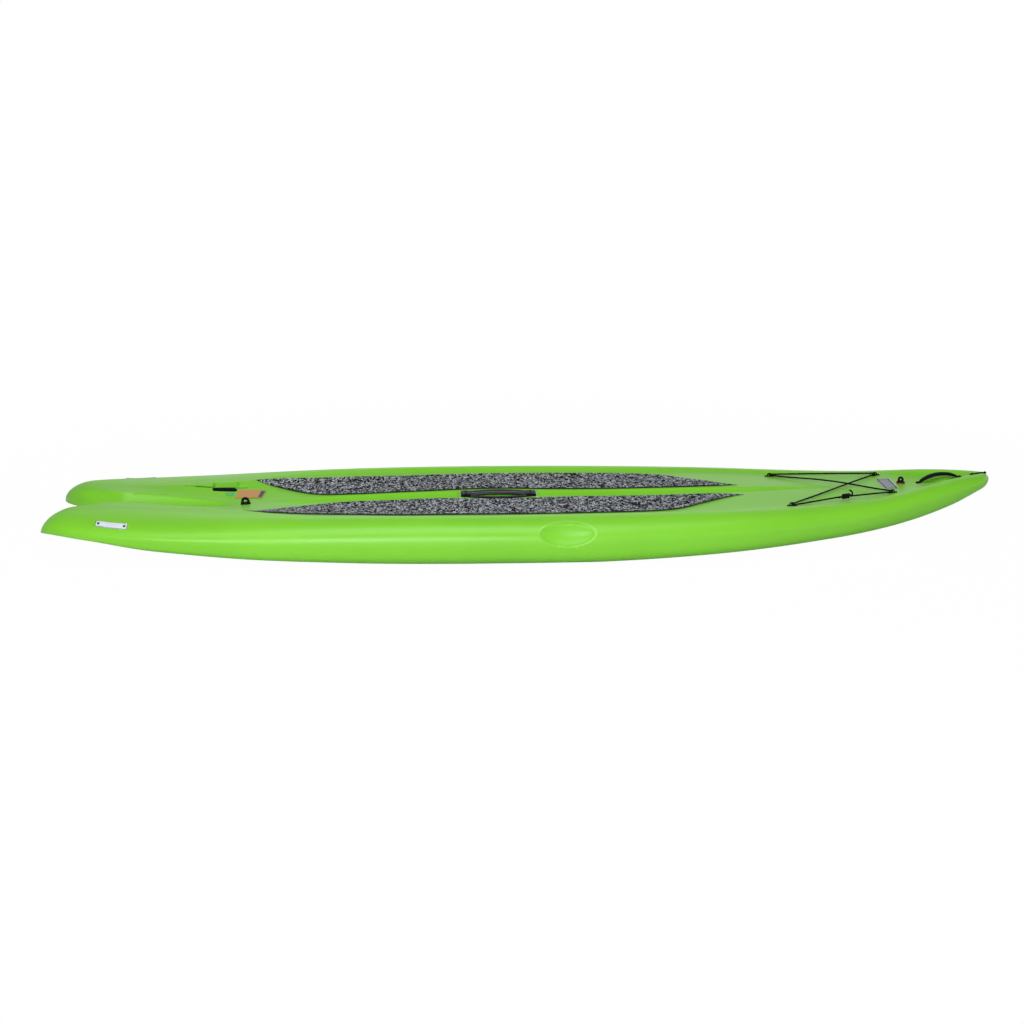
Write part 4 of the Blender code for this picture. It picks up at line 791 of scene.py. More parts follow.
def group(name, inputs, outputs):
    """An empty node group with named sockets, and its two end nodes."""
    tree = bpy.data.node_groups.new(name, "ShaderNodeTree")
    for label, kind, value in inputs:
        socket = tree.interface.new_socket(name=label, in_out="INPUT", socket_type=kind)
        socket.default_value = value
    for label, kind in outputs:
        tree.interface.new_socket(name=label, in_out="OUTPUT", socket_type=kind)
    return tree, tree.nodes.new("NodeGroupInput").outputs, tree.nodes.new("NodeGroupOutput").inputs


def object_space(tree):
    return node(tree, "ShaderNodeTexCoord").outputs["Object"]


def stretched(tree, where, scale):
    return node(tree, "ShaderNodeMapping", {"Vector": where, "Scale": scale}).outputs["Vector"]


def make_moulded_skin():
    """Pebbled skin of moulded plastic, with faint cloudy patches and fine rubbed marks."""
    tree, given, out = group(
        "moulded_skin", [("Grain Scale", "NodeSocketFloat", 400.0), ("Mark Scale", "NodeSocketFloat", 30.0)],
        [("Height", "NodeSocketFloat"), ("Patches", "NodeSocketFloat"), ("Marks", "NodeSocketFloat")])
    where = object_space(tree)
    fine = noise(tree, where, given["Grain Scale"], 2.0, 0.6)
    swell = noise(tree, where, maths(tree, "MULTIPLY", given["Grain Scale"], 0.06), 2.0, 0.5)
    height = maths(tree, "ADD", fine, maths(tree, "MULTIPLY", swell, 1.6))
    tree.links.new(height, out["Height"])
    patches = between(tree, noise(tree, where, 2.6, 4.0, 0.6), 0.3, 0.7)
    tree.links.new(patches, out["Patches"])
    long_way = stretched(tree, where, (1.0, 7.0, 7.0))
    lines = between(tree, noise(tree, long_way, given["Mark Scale"], 5.0, 0.7, 0.6), 0.62, 0.74)
    few = between(tree, noise(tree, where, 6.0, 2.0, 0.5), 0.5, 0.68)
    tree.links.new(maths(tree, "MULTIPLY", lines, few), out["Marks"])
    return tree


def make_painted_rim_highlight():
    """A mask along the rims of the two side scoops, where a pale painted highlight is laid on the green."""
    tree, _, out = group("painted_rim_highlight", [], [("Highlight", "NodeSocketFloat")])
    place, (a, b, depth), _ = scoop_frames()[0]
    back = place.inverted()
    parts = node(tree, "ShaderNodeSeparateXYZ", {"Vector": object_space(tree)}).outputs
    mirrored = node(tree, "ShaderNodeCombineXYZ", {
        "X": parts["X"], "Y": maths(tree, "ABSOLUTE", parts["Y"]), "Z": parts["Z"]}).outputs["Vector"]
    local = node(tree, "ShaderNodeMapping", {
        "Vector": mirrored, "Location": back.translation, "Rotation": back.to_euler()}).outputs["Vector"]
    share = (1 / a, 1 / b, 0)
    flat = node(tree, "ShaderNodeVectorMath", {0: local, 1: share}, operation="MULTIPLY").outputs[0]
    reach = node(tree, "ShaderNodeVectorMath", {0: flat}, operation="LENGTH").outputs["Value"]
    inside = between(tree, reach, 0.93, 0.99)
    ring = maths(tree, "MULTIPLY", inside, between(tree, reach, 1.0, 1.06, 1.0, 0.0))
    height = node(tree, "ShaderNodeSeparateXYZ", {"Vector": local}).outputs["Z"]
    near = maths(tree, "GREATER_THAN", height, -2 * depth)
    tree.links.new(maths(tree, "MULTIPLY", ring, near), out["Highlight"])
    return tree


def make_speckled_foam():
    """Blotched foam: dark and light blotches of a steady size with ragged edges, over a fine grain."""
    tree, given, out = group(
        "speckled_foam", [("Blotch Scale", "NodeSocketFloat", 60.0)],
        [("Dark", "NodeSocketFloat"), ("Light", "NodeSocketFloat"), ("Height", "NodeSocketFloat")])
    where = stretched(tree, object_space(tree), (1.0, 0.5, 1.0))
    broad = noise(tree, where, given["Blotch Scale"], 2.0, 0.55, 0.8)
    moved = node(tree, "ShaderNodeMapping", {"Vector": where, "Location": (3.1, 1.7, 5.3)})
    pale = noise(tree, moved.outputs["Vector"], given["Blotch Scale"], 2.0, 0.55, 0.8)
    tree.links.new(between(tree, broad, 0.46, 0.50, 1.0, 0.0), out["Dark"])
    tree.links.new(between(tree, pale, 0.50, 0.535), out["Light"])
    cells = node(tree, "ShaderNodeTexVoronoi", {"Vector": where, "Scale": 900.0})
    tree.links.new(maths(tree, "ADD", cells.outputs["Distance"], broad), out["Height"])
    return tree


def make_woven_sheath():
    """Braid of a cord's sheath: two sets of crossing strands, told apart by height and shade."""
    tree, given, out = group(
        "woven_sheath", [("Strand Scale", "NodeSocketFloat", 450.0)],
        [("Height", "NodeSocketFloat"), ("Shade", "NodeSocketFloat")])
    where = object_space(tree)
    parts = node(tree, "ShaderNodeSeparateXYZ", {"Vector": where}).outputs
    total = maths(tree, "ADD", parts["X"], parts["Y"])
    gap = maths(tree, "SUBTRACT", parts["X"], parts["Y"])
    waves = []
    for line, way in ((total, 1.0), (gap, -1.0)):
        turn = maths(tree, "ADD", line, maths(tree, "MULTIPLY", parts["Z"], way))
        angle = maths(tree, "MULTIPLY", turn, given["Strand Scale"])
        waves.append(maths(tree, "SINE", maths(tree, "MULTIPLY", angle, math.tau)))
    height = maths(tree, "MAXIMUM", waves[0], waves[1])
    tree.links.new(height, out["Height"])
    tree.links.new(between(tree, waves[0], -1.0, 1.0), out["Shade"])
    return tree


def placed(tree, name, **inputs):
    made = tree.nodes.new("ShaderNodeGroup")
    made.node_tree = bpy.data.node_groups[name]
    for key, value in inputs.items():
        made.inputs[key.replace("_", " ")].default_value = value
    return made.outputs


def new_material(name, roughness=0.5, metallic=0.0):
    made = bpy.data.materials.new(name)
    made.use_nodes = True
    tree = made.node_tree
    shader = tree.nodes["Principled BSDF"]
    shader.inputs["Roughness"].default_value = roughness
    shader.inputs["Metallic"].default_value = metallic
    return tree, shader.inputs


def bumped(tree, into, height, distance, strength=1.0):
    bump = node(tree, "ShaderNodeBump", {"Height": height, "Distance": distance, "Strength": strength})
    tree.links.new(bump.outputs["Normal"], into["Normal"])


def plastic(name, colour, roughness, grain, depth, patch=0.12, mark=0.06):
    """A moulded plastic: its colour drifts a little and is paler where it has been rubbed."""
    tree, into = new_material(name)
    skin_of = placed(tree, "moulded_skin", Grain_Scale=grain)
    tone = blended(tree, skin_of["Patches"], rgba(colour, 1 - patch), rgba(colour, 1 + patch))
    worn = maths(tree, "MULTIPLY", skin_of["Marks"], mark)
    tree.links.new(blended(tree, worn, tone, rgba([0.55 * c + 0.30 for c in colour])), into["Base Color"])
    drift = between(tree, skin_of["Patches"], 0.0, 1.0, roughness - 0.03, roughness + 0.04)
    rough = maths(tree, "ADD", drift, maths(tree, "MULTIPLY", skin_of["Marks"], 0.2), clamp=True)
    tree.links.new(rough, into["Roughness"])
    bumped(tree, into, skin_of["Height"], depth)
    return into


def make_materials():
    paint = colours()
    make_moulded_skin()
    make_painted_rim_highlight()
    make_speckled_foam()
    make_woven_sheath()

    into = plastic("green_polyethylene", paint.shell, 0.37, 420.0, 0.00012, patch=0.035)
    into["Specular IOR Level"].default_value = 0.40
    tree = bpy.data.materials["green_polyethylene"].node_tree
    plain = into["Base Color"].links[0].from_socket
    # Painted sheen: the grained floor of the deck is tinted a darker, bluer green, standing in for the pale
    # reflection its pebbled skin gives.
    grained_sheen = node(tree, "ShaderNodeAttribute", attribute_name="grained_sheen").outputs["Fac"]
    tone = blended(tree, grained_sheen, (1, 1, 1, 1), (0.93, 0.93, 1.0, 1))
    tone = blended(tree, 1.0, plain, tone, "MULTIPLY")
    # Painted highlight: a pale green line along the rims of the side scoops, standing in for the light their
    # lips catch.
    rim = maths(tree, "MULTIPLY", placed(tree, "painted_rim_highlight")["Highlight"], 0.3)
    tree.links.new(blended(tree, rim, tone, rgba((0.52, 0.90, 0.26))), into["Base Color"])
    into = plastic("black_moulding", paint.plastic, 0.30, 900.0, 0.00006, mark=0.02)
    into["Specular IOR Level"].default_value = 0.012
    into = plastic("black_grip", paint.plastic, 0.20, 900.0, 0.00003, mark=0.02)
    into["Specular IOR Level"].default_value = 0.35
    into = plastic("black_nylon", paint.plastic, 0.5, 700.0, 0.00010, mark=0.02)
    into["Specular IOR Level"].default_value = 0.015
    plastic("rubber_seal", paint.seal, 0.55, 500.0, 0.00008)
    plastic("badge_face", paint.badge, 0.28, 300.0, 0.00003, patch=0.03)
    plastic("badge_border", (0.02, 0.024, 0.032), 0.40, 500.0, 0.00003)
    into = plastic("plate_face", paint.plate, 0.45, 300.0, 0.00003, patch=0.1)
    into["Specular IOR Level"].default_value = 0.12
    plastic("plate_band", (0.55, 0.58, 0.60), 0.40, 300.0, 0.00003)
    into = plastic("plate_border", (0.014, 0.017, 0.021), 0.45, 500.0, 0.00003)
    into["Specular IOR Level"].default_value = 0.08
    plastic("teal_tie", paint.tie, 0.5, 700.0, 0.00004)
    plastic("tag_strip", (0.055, 0.075, 0.10), 0.6, 400.0, 0.00003, patch=0.25)

    tree, into = new_material("deck_foam", 0.9)
    spots = placed(tree, "speckled_foam", Blotch_Scale=0.8 / sizes().speck)
    tone = blended(tree, spots["Light"], rgba(paint.foam_mid), rgba(paint.foam_light))
    tone = blended(tree, spots["Dark"], tone, rgba(paint.foam_dark))
    tree.links.new(tone, into["Base Color"])
    bumped(tree, into, spots["Height"], 0.0004)
    into["Specular IOR Level"].default_value = 0.1

    tree, into = new_material("foam_edge", 0.9)
    grain = noise(tree, object_space(tree), 500.0, 3.0, 0.6)
    share = between(tree, grain, 0.35, 0.7)
    tone = blended(tree, share, rgba(paint.foam_dark, 1.6), rgba(paint.foam_mid, 0.25))
    tree.links.new(tone, into["Base Color"])
    bumped(tree, into, grain, 0.0003)

    tree, into = new_material("cord_sheath", 0.75)
    braid = placed(tree, "woven_sheath", Strand_Scale=0.5 / sizes().braid)
    tone = blended(tree, braid["Shade"], rgba(paint.cord, 0.8), rgba(paint.cord, 2.2))
    tree.links.new(tone, into["Base Color"])
    bumped(tree, into, braid["Height"], 0.0002)
    into["Specular IOR Level"].default_value = 0.08

    metals = (
        ("stainless", (0.56, 0.56, 0.57), 0.28),
        ("blackened_steel", (0.045, 0.045, 0.05), 0.38))
    for name, shade_of, roughness in metals:
        tree, into = new_material(name, roughness, 1.0)
        skin_of = placed(tree, "moulded_skin", Grain_Scale=1500.0, Mark_Scale=90.0)
        tone = blended(tree, skin_of["Marks"], rgba(shade_of), rgba(shade_of, 2.2))
        tree.links.new(tone, into["Base Color"])
        drift = between(tree, skin_of["Patches"], 0.0, 1.0, roughness - 0.06, roughness + 0.1)
        tree.links.new(drift, into["Roughness"])
        bumped(tree, into, skin_of["Height"], 0.00002)

    tree, into = new_material("kraft_card", 0.85)
    where = object_space(tree)
    fibres = noise(tree, stretched(tree, where, (1.0, 3.5, 1.0)), 500.0, 4.0, 0.7, 1.5)
    flecks = between(tree, noise(tree, where, 1300.0, 2.0, 0.7), 0.60, 0.72)
    tone = blended(tree, between(tree, fibres, 0.3, 0.7), rgba(paint.card, 0.8), rgba(paint.card, 1.2))
    tone = blended(tree, maths(tree, "MULTIPLY", flecks, 0.5), tone, rgba((0.16, 0.08, 0.035)))
    tree.links.new(tone, into["Base Color"])
    bumped(tree, into, fibres, 0.0001)


# Hull

def scoop_frames():
    """Each hand scoop as its frame, half sizes, and the power of its bowl. Z runs out of the board."""
    x = station(SIDE_SCOOP_STATION)
    low = beam_height_line(SIDE_SCOOP_STATION)
    share = 1 - ((SIDE_SCOOP_Z_SHARE - low) / (crown_line(SIDE_SCOOP_STATION) - low)) ** RAIL_POWER
    crown = crown_half(x, 0)
    y = crown + (half_beam(x) - crown) * share ** (1 / RAIL_POWER)
    side = Matrix.Translation((x, y, SIDE_SCOOP_Z_SHARE * THICKNESS))
    side = side @ Matrix.Rotation(SIDE_SCOOP_TILT, 4, "X") @ Matrix.Rotation(math.radians(-90), 4, "X")
    bow = bow_handle_frame()[0]
    return (
        (side, (SIDE_SCOOP_LENGTH / 2, SIDE_SCOOP_HEIGHT / 2, SIDE_SCOOP_DEPTH), 0.62),
        (bow, (BOW_SCOOP_LENGTH / 2, BOW_SCOOP_WIDTH / 2, BOW_SCOOP_DEPTH), 0.5))


def bow_handle_frame():
    """The bow handle's frame and half its length over the feet."""
    x = station(BOW_HANDLE_STATION)
    half = BOW_HANDLE_LENGTH / 2
    aft = Vector((x - half, 0, deck_z(x - half, 0)))
    fore = Vector((x + half, 0, deck_z(x + half, 0)))
    tilt = math.atan2(fore.z - aft.z, fore.x - aft.x)
    middle = (aft + fore) / 2 - Vector((0, 0, SEAT_DEPTH))
    return Matrix.Translation(middle) @ Matrix.Rotation(-tilt, 4, "Y"), (fore - aft).length / 2 + 0.002


def scooped(point, frames):
    """Presses a point of the hull in where a hand scoop takes it."""
    for place, back, (a, b, depth), power in frames:
        local = back @ point
        reach = (local.x / a) ** 2 + (local.y / b) ** 2
        if reach < 1 and abs(local.z) < 2.2 * depth:
            floor = -depth * (1 - reach) ** power
            if floor < local.z:
                local.z = floor
                return place @ local
    return point


def fine_stations():
    """X of the hull's sections, closer together at the tips and across the scoops."""
    tail = [-HALF_LENGTH + TAIL_PLAN_ROUND * (1 - math.cos(math.pi / 2 * i / 16)) for i in range(1, 17)]
    nose = [HALF_LENGTH - NOSE_PLAN_ROUND * (1 - math.cos(math.pi / 2 * i / 12)) for i in range(12, 0, -1)]
    side_x = station(SIDE_SCOOP_STATION)
    bow_x = station(BOW_HANDLE_STATION)
    fine = [(side_x, SIDE_SCOOP_LENGTH / 2 + 0.004, 0.002), (bow_x, BOW_SCOOP_LENGTH / 2 + 0.004, 0.0022)]
    for end in (-1, 1):
        fine.append((station(HANDLE_STATION) + end * (FRAME_LENGTH / 2 + 0.008), 0.012, 0.002))
    x = tail[-1]
    body_line = []
    while x < nose[0]:
        step = sizes().station_step
        for centre, half, close in fine:
            if abs(x - centre) < half:
                step = close
        x += step
        body_line.append(x)
    body_line = [x for x in body_line if nose[0] - x > 0.002 and abs(x - NOTCH_X) > 0.002]
    return sorted(tail + body_line + [NOTCH_X] + nose)


def fine_section(x):
    """Half a cross-section as (y, z) points: over the deck, round the rail and back under."""
    inner = notch_edge(x)
    outer = half_beam(x)
    lip = inner + groove_span(x, inner)
    crown = crown_half(x, inner)
    flat = flat_half(x, inner)
    turn = sizes().turn_steps
    angles = [math.pi / 2 * i / turn for i in range(turn + 1)]
    across = [inner + (lip - inner) * i / 8 for i in range(8)]
    across += [lip + (crown - lip) * (1 - (1 - i / 34) ** 1.7) for i in range(34)]
    across += [crown + (outer - crown) * math.sin(a) for a in angles]
    under = [flat + (outer - flat) * math.cos(a) for a in angles[1:]]
    under += [flat + (inner - flat) * i / 9 for i in range(1, 10)]
    return [(y, deck_z(x, y, inner)) for y in across] + [(y, bottom_z(x, y, inner)) for y in under]


def hull_loft():
    """The whole outer skin, with its scoops pressed in, before the wells are cut."""
    frames = [(place, place.inverted(), half, power) for place, half, power in scoop_frames()]
    rows = [([Vector((-HALF_LENGTH, TAIL_TIP_Y, TAIL_TIP_Z))], True)]
    for x in fine_stations():
        rows.append(([scooped(Vector((x, y, z)), frames) for y, z in fine_section(x)], x < NOTCH_X))
    rows.append(([Vector((HALF_LENGTH, 0.0, NOSE_Z))], False))
    shape = bmesh.new()
    for side in (1, -1):
        grid = [([shape.verts.new((p.x, side * p.y, p.z)) for p in row], closed) for row, closed in rows]
        for (row, closed), (after, _) in zip(grid, grid[1:]):
            if len(row) == 1 or len(after) == 1:
                tip = (row if len(row) == 1 else after)[0]
                edge = after if len(row) == 1 else row
                for a, b in zip(edge, edge[1:]):
                    shape.faces.new((tip, a, b))
                if len(row) == 1:
                    shape.faces.new((tip, edge[-1], edge[0]))
                continue
            strips = list(zip(row, row[1:], after, after[1:]))
            if closed:
                strips.append((row[-1], row[0], after[-1], after[0]))
            for a, b, c, d in strips:
                shape.faces.new((a, c, d, b))
    middle = [v for v in shape.verts if abs(v.co.y) < 0.0001]
    bmesh.ops.remove_doubles(shape, verts=middle, dist=0.00005)
    bmesh.ops.recalc_face_normals(shape, faces=shape.faces)
    mesh = bpy.data.meshes.new("hull_skin")
    shape.to_mesh(mesh)
    shape.free()
    made = bpy.data.objects.new("hull_skin", mesh)
    bpy.context.scene.collection.objects.link(made)
    return made


def lip_levels(radius):
    """A lip that rolls over: (distance out, depth below the surface) from inside the well up."""
    turns = [math.radians(a) for a in (0, 18, 36, 54, 72)]
    levels = [(radius * (1 - math.cos(a)), radius * (1 - math.sin(a))) for a in turns]
    out, depth = levels[-1]
    return levels + [(out + 0.006, depth - 0.006 * math.cos(turns[-1]) / math.sin(turns[-1]))]


def well(name, outline, floor, radius, fillet=0.002, through=False):
    """A cutter for a well in the deck, with a rolled lip.

    Floor is the height of its bottom. A well that goes through rolls over at the bottom as well.
    """
    rings = []
    for out, depth in lip_levels(radius)[::-1]:
        ring = offset(outline, out)
        rings.append([(x, y, deck_z(x, y) - depth) for x, y in ring])
    rings.insert(0, [(x, y, z + 0.03) for x, y, z in rings[0]])
    if through:
        for out, depth in lip_levels(radius):
            ring = offset(outline, out)
            rings.append([(x, y, bottom_z(x, y) + depth) for x, y in ring])
        rings.append([(x, y, z - 0.03) for x, y, z in rings[-1]])
    else:
        for a in (0, 30, 60, 90):
            turn = math.radians(a)
            ring = offset(outline, -fillet * (1 - math.cos(turn)))
            rings.append([(x, y, floor + fillet * (1 - math.sin(turn))) for x, y in ring])
    return skin(name, rings)


def flat_seat(name, outline, place):
    """A cutter for a shallow flat seat."""
    return stack(name, outline, [(0, 0), (0, 0.012)], place)


def handle_level():
    """Height of the seat of the centre handle's frame."""
    x = station(HANDLE_STATION)
    return min(deck_z(x + side * FRAME_LENGTH / 2, 0) for side in (-1, 1)) - SEAT_DEPTH


def fin_pivot(side):
    x = station(FIN_STATION)
    return Vector((x, side * FIN_Y, deck_z(x, FIN_Y) - FIN_PIVOT_DEPTH))


def moved(outline, x, y=0.0):
    return [(px + x, py + y) for px, py in outline]


def hull_cutters():
    lip = sizes().lip_radius
    margin = 2 * SEAT_MARGIN
    x = station(HANDLE_STATION)
    place = Matrix.Translation((x, 0, handle_level()))
    cutters = [flat_seat("handle_seat", boat_outline(
        FRAME_LENGTH + margin, FRAME_WIDTH + margin, FRAME_END_WIDTH + margin, 0.006), place)]
    wider = 2 * POCKET_MARGIN
    pocket = boat_outline(MOUTH_LENGTH, MOUTH_WIDTH + wider, MOUTH_END_WIDTH + wider, 0.012)
    fillet = 0.012
    levels = [(0, 0.02), (0, fillet - POCKET_DEPTH)]
    for a in (20, 40, 60, 78):
        turn = math.radians(a)
        levels.append((-fillet * (1 - math.cos(turn)), fillet * (1 - math.sin(turn)) - POCKET_DEPTH))
    cutters.append(stack("handle_pocket", pocket, levels, place))

    bow, half = bow_handle_frame()
    foot = rectangle(BOW_FOOT_LENGTH + 0.012 + margin, BOW_HANDLE_WIDTH + margin)
    for end in (-1, 1):
        at = bow @ shift(end * (half - BOW_FOOT_LENGTH / 2 - 0.005))
        cutters.append(flat_seat("bow_seat", rounded(foot, 0.003), at))

    for side in (1, -1):
        pivot = fin_pivot(side)
        slot = rounded(rectangle(WELL_AFT + WELL_FORE, WELL_WIDTH), WELL_WIDTH * 0.48, 8)
        slot = moved(slot, pivot.x + (WELL_FORE - WELL_AFT) / 2, pivot.y)
        cutters.append(well("fin_well", slot, 0.0, lip * 0.7, through=True))
        finger = rectangle(FINGER_AFT + FINGER_FORE, FINGER_INBOARD + FINGER_OUTBOARD)
        finger = rounded(finger, FINGER_CORNER * 1.5, 8)
        finger = moved(finger, pivot.x + (FINGER_FORE - FINGER_AFT) / 2,
                       pivot.y + side * (FINGER_OUTBOARD - FINGER_INBOARD) / 2)
        cutters.append(well("finger_pocket", finger, pivot.z + FINGER_FLOOR, lip))
        for share, y, _ in EYE_ROWS:
            at = deck_place(station(share), side * y, SEAT_DEPTH)
            cutters.append(flat_seat("eye_seat", eye_outline(EYE_LENGTH + margin, EYE_WIDTH + margin), at))
    at = deck_place(station(LEASH_STATION), 0, SEAT_DEPTH)
    cutters.append(flat_seat("leash_seat", eye_outline(LEASH_LENGTH + margin, LEASH_WIDTH + margin), at))
    at = deck_place(station(VENT_STATION), 0, SEAT_DEPTH, upright=True)
    wide = 2 * VENT_HEAD_RADIUS + margin
    cutters.append(flat_seat("vent_seat", oval(wide, wide), at))
    bore = oval(2 * VENT_BORE_RADIUS, 2 * VENT_BORE_RADIUS, 32)
    cutters.append(stack("vent_bore", bore, [(0, -0.025), (0, 0.02)], at))
    return cutters


def graining(spot):
    """How far a point of the hull lies on the grained floor of the deck, from 0 to 1. It masks the painted
    sheen there.
    """
    share = spot.x / HALF_LENGTH
    y = abs(spot.y)
    inner = notch_edge(spot.x)
    if abs(share) > 0.99 or spot.z < deck_z(spot.x, y) - 0.003:
        return 0.0
    rim = GRAINED_SHARE * min(dish_half_line(share) * HALF_BEAM, crown_half(spot.x, inner))
    edge = rim + (crown_half(spot.x, inner) - rim) * smooth((-0.45 - share) / 0.2)
    groove = smooth(max(groove_depth_line(share), 0) / 0.03) * (share > -0.6)
    out_of_groove = smooth((y - groove_span(spot.x, inner)) / 0.005)
    return smooth((edge - y) / 0.012) * (1 - groove * (1 - out_of_groove))


class PADDLEBOARD_OT_hull(bpy.types.Operator):
    """Adds the green moulded hull with its scoops, wells and seats"""
    bl_idname = "paddle_board.hull"
    bl_label = "Hull"

    def execute(self, context):
        hull = combined(hull_loft(), hull_cutters(), "DIFFERENCE", 42)
        dress(hull, ["hull_shell", "foam_core"], "green_polyethylene")
        # Marks the grained floor of the deck, where the green material paints its sheen.
        grained_sheen = hull.data.attributes.new("grained_sheen", "FLOAT", "POINT")
        for i, vertex in enumerate(hull.data.vertices):
            grained_sheen.data[i].value = graining(vertex.co)
        return {"FINISHED"}


# Deck pads

def pad_edges(share):
    """Y of a pad's inner and outer edge."""
    near = max(pad_inner_line(share) * HALF_BEAM, groove_span(station(share), 0))
    return near, max(pad_outer_line(share) * HALF_BEAM, near)


def pad_ring(share, side):
    """One cross-section of a pad, round from its inner lower edge. It thins out towards the tips."""
    x = station(share)
    near, far = pad_edges(share)
    ends = min(share - PAD_AFT, PAD_FORE - share) * HALF_LENGTH
    thick = sizes().pad_thickness * (0.12 + 0.88 * smooth(ends / 0.10))
    width = far - near
    edge = min(sizes().pad_edge, 0.45 * width, 0.7 * thick)
    line = [(near, 0.0)]
    for a in (0, 25, 50, 75):
        turn = math.radians(a)
        line.append((near + edge * (1 - math.cos(turn)), thick - edge * (1 - math.sin(turn))))
    for i in range(1, 25):
        line.append((near + edge + (width - 2 * edge) * i / 25, thick))
    for a in (75, 50, 25, 0):
        turn = math.radians(a)
        line.append((far - edge * (1 - math.cos(turn)), thick - edge * (1 - math.sin(turn))))
    line.append((far, 0.0))
    for i in range(1, 12):
        line.append((far - width * i / 12, 0.0))
    return [Vector((x, side * y, deck_z(x, y) + PAD_GAP + h)) for y, h in line]


class PADDLEBOARD_OT_pads(bpy.types.Operator):
    """Adds the two speckled foam pads"""
    bl_idname = "paddle_board.pads"
    bl_label = "Deck Pads"

    def execute(self, context):
        shares = []
        count = 150
        for i in range(count + 1):
            t = i / count
            shares.append(PAD_AFT + (PAD_FORE - PAD_AFT) * (0.5 - 0.5 * math.cos(math.pi * t)) * 0.5
                          + (PAD_FORE - PAD_AFT) * t * 0.5)
        shares[0] += 0.0006
        shares[-1] -= 0.0006
        for hand, side in (("port", 1), ("starboard", -1)):
            pad = skin(f"deck_foam_{hand}", [pad_ring(s, side) for s in shares], 50)
            dress(pad, [f"deck_pad_{hand}"], "deck_foam")
            pad.data.materials.append(bpy.data.materials["foam_edge"])
            for face in pad.data.polygons:
                if abs(face.normal.z) < 0.72:
                    face.material_index = 1
        return {"FINISHED"}


# Centre carry handle

class PADDLEBOARD_OT_centre_handle(bpy.types.Operator):
    """Adds the centre carry handle: a boat-shaped frame and its bar"""
    bl_idname = "paddle_board.centre_handle"
    bl_label = "Centre Handle"

    def execute(self, context):
        place = Matrix.Translation((station(HANDLE_STATION), 0, handle_level()))
        edge = sizes().frame_edge
        outer = boat_outline(FRAME_LENGTH, FRAME_WIDTH, FRAME_END_WIDTH)
        inner = boat_outline(MOUTH_LENGTH, MOUTH_WIDTH, MOUTH_END_WIDTH)
        low, high = GAP, GAP + FRAME_THICKNESS
        turns = [math.pi / 2 * i / 4 for i in range(5)]
        section = [(0.0005, 0, low), (0, 0, low + 0.0005)]
        section += [(edge * (1 - math.cos(a)), 0, high - edge * (1 - math.sin(a))) for a in turns]
        rings = []
        drawn_in = offset(outer, -1.0)
        drawn_out = offset(inner, 1.0)
        for (ox, oy), (ix, iy), (nx, ny), (mx, my) in zip(outer, inner, drawn_in, drawn_out):
            outward = Vector((nx - ox, ny - oy, 0)).normalized()
            inward = Vector((mx - ix, my - iy, 0)).normalized()
            ring = [Vector((ox, oy, z)) + outward * d for d, _, z in section]
            dip = Vector(((ox + ix) / 2, (oy + iy) / 2, high - 0.0003))
            ring.append(dip)
            ring += [Vector((ix, iy, z)) + inward * d for d, _, z in section[::-1]]
            rings.append([place @ p for p in ring])
        ring = skin("carry_frame", rings, 40, joined=True)
        block_x = (FRAME_LENGTH - BLOCK_LENGTH) / 2 - 0.002
        block_top = high + BLOCK_RISE
        shape = rounded(rectangle(BLOCK_LENGTH, BLOCK_WIDTH), 0.004)
        blocks = []
        for end in (-1, 1):
            levels = edge_levels(0.0012, block_top, 0.0, 0.0016)
            blocks.append(stack("carry_block", shape, levels, place @ shift(end * block_x)))
        mouth = stack("carry_mouth", inner, [(0, -0.02), (0, 0.03)], place)
        for block in blocks:
            combined(ring, [block])
        combined(ring, [mouth], "DIFFERENCE", 40)
        dress(ring, ["handle_frame"], "black_moulding")

        reach = MOUTH_LENGTH / 2 - GAP
        level = block_top - GRIP_HEIGHT / 2
        spots = []
        count = 40
        for i in range(count + 1):
            t = -1 + 2 * i / count
            spots.append((t * reach, 0, level + GRIP_BOW * smooth(1.4 * (1 - abs(t)))))

        def grip_section(i):
            t = abs(-1 + 2 * i / count)
            flare = smooth((t - 0.90) / 0.10)
            return oval(GRIP_WIDTH * (1 + 0.02 * flare), GRIP_HEIGHT * (1 - 0.05 * (1 - flare)), 36, 2.3)

        grip = swept("carry_bar", spots, grip_section, place=place, angle=50)
        dress(grip, ["handle_grip"], "black_grip")
        corners = [(end * block_x, side * BLOCK_WIDTH * 0.32) for end in (-1, 1) for side in (-1, 1)]
        add_screws("handle_frame", place, corners, block_top)
        return {"FINISHED"}


# Screws and rivets

def screw_mesh():
    """A pan-head screw with a cross recess. Z is 0 under its head."""
    head, height = SCREW_HEAD_RADIUS, SCREW_HEAD_HEIGHT
    profile = [(0.0001, height)]
    turns = (0.3, 0.6, 0.9, 1.2, 1.45)
    profile += [(head * math.sin(a), height * (0.25 + 0.75 * math.cos(a))) for a in turns]
    profile += [(head, height * 0.25), (head, 0.0), (SCREW_RADIUS, 0.0)]
    depth = 0.0
    while depth > -SCREW_LENGTH:
        profile += [(SCREW_RADIUS * 0.8, depth - 0.0006), (SCREW_RADIUS, depth - 0.0011)]
        depth -= 0.0011
    profile += [(0.0001, depth - 0.001)]
    made = turned("screw_shape", profile, sides=28, angle=40)
    cross = []
    recess = [(-0.00025, height - 0.0015), (0.0002, height + 0.001)]
    for turn in (0, 90):
        place = Matrix.Rotation(math.radians(turn), 4, "Z")
        cross.append(stack("recess", rectangle(0.0042, 0.0009), recess, place))
    combined(cross[0], [cross[1]])
    combined(made, [cross[0]], "DIFFERENCE", 40)
    mesh = made.data
    bpy.data.objects.remove(made, do_unlink=True)
    return mesh


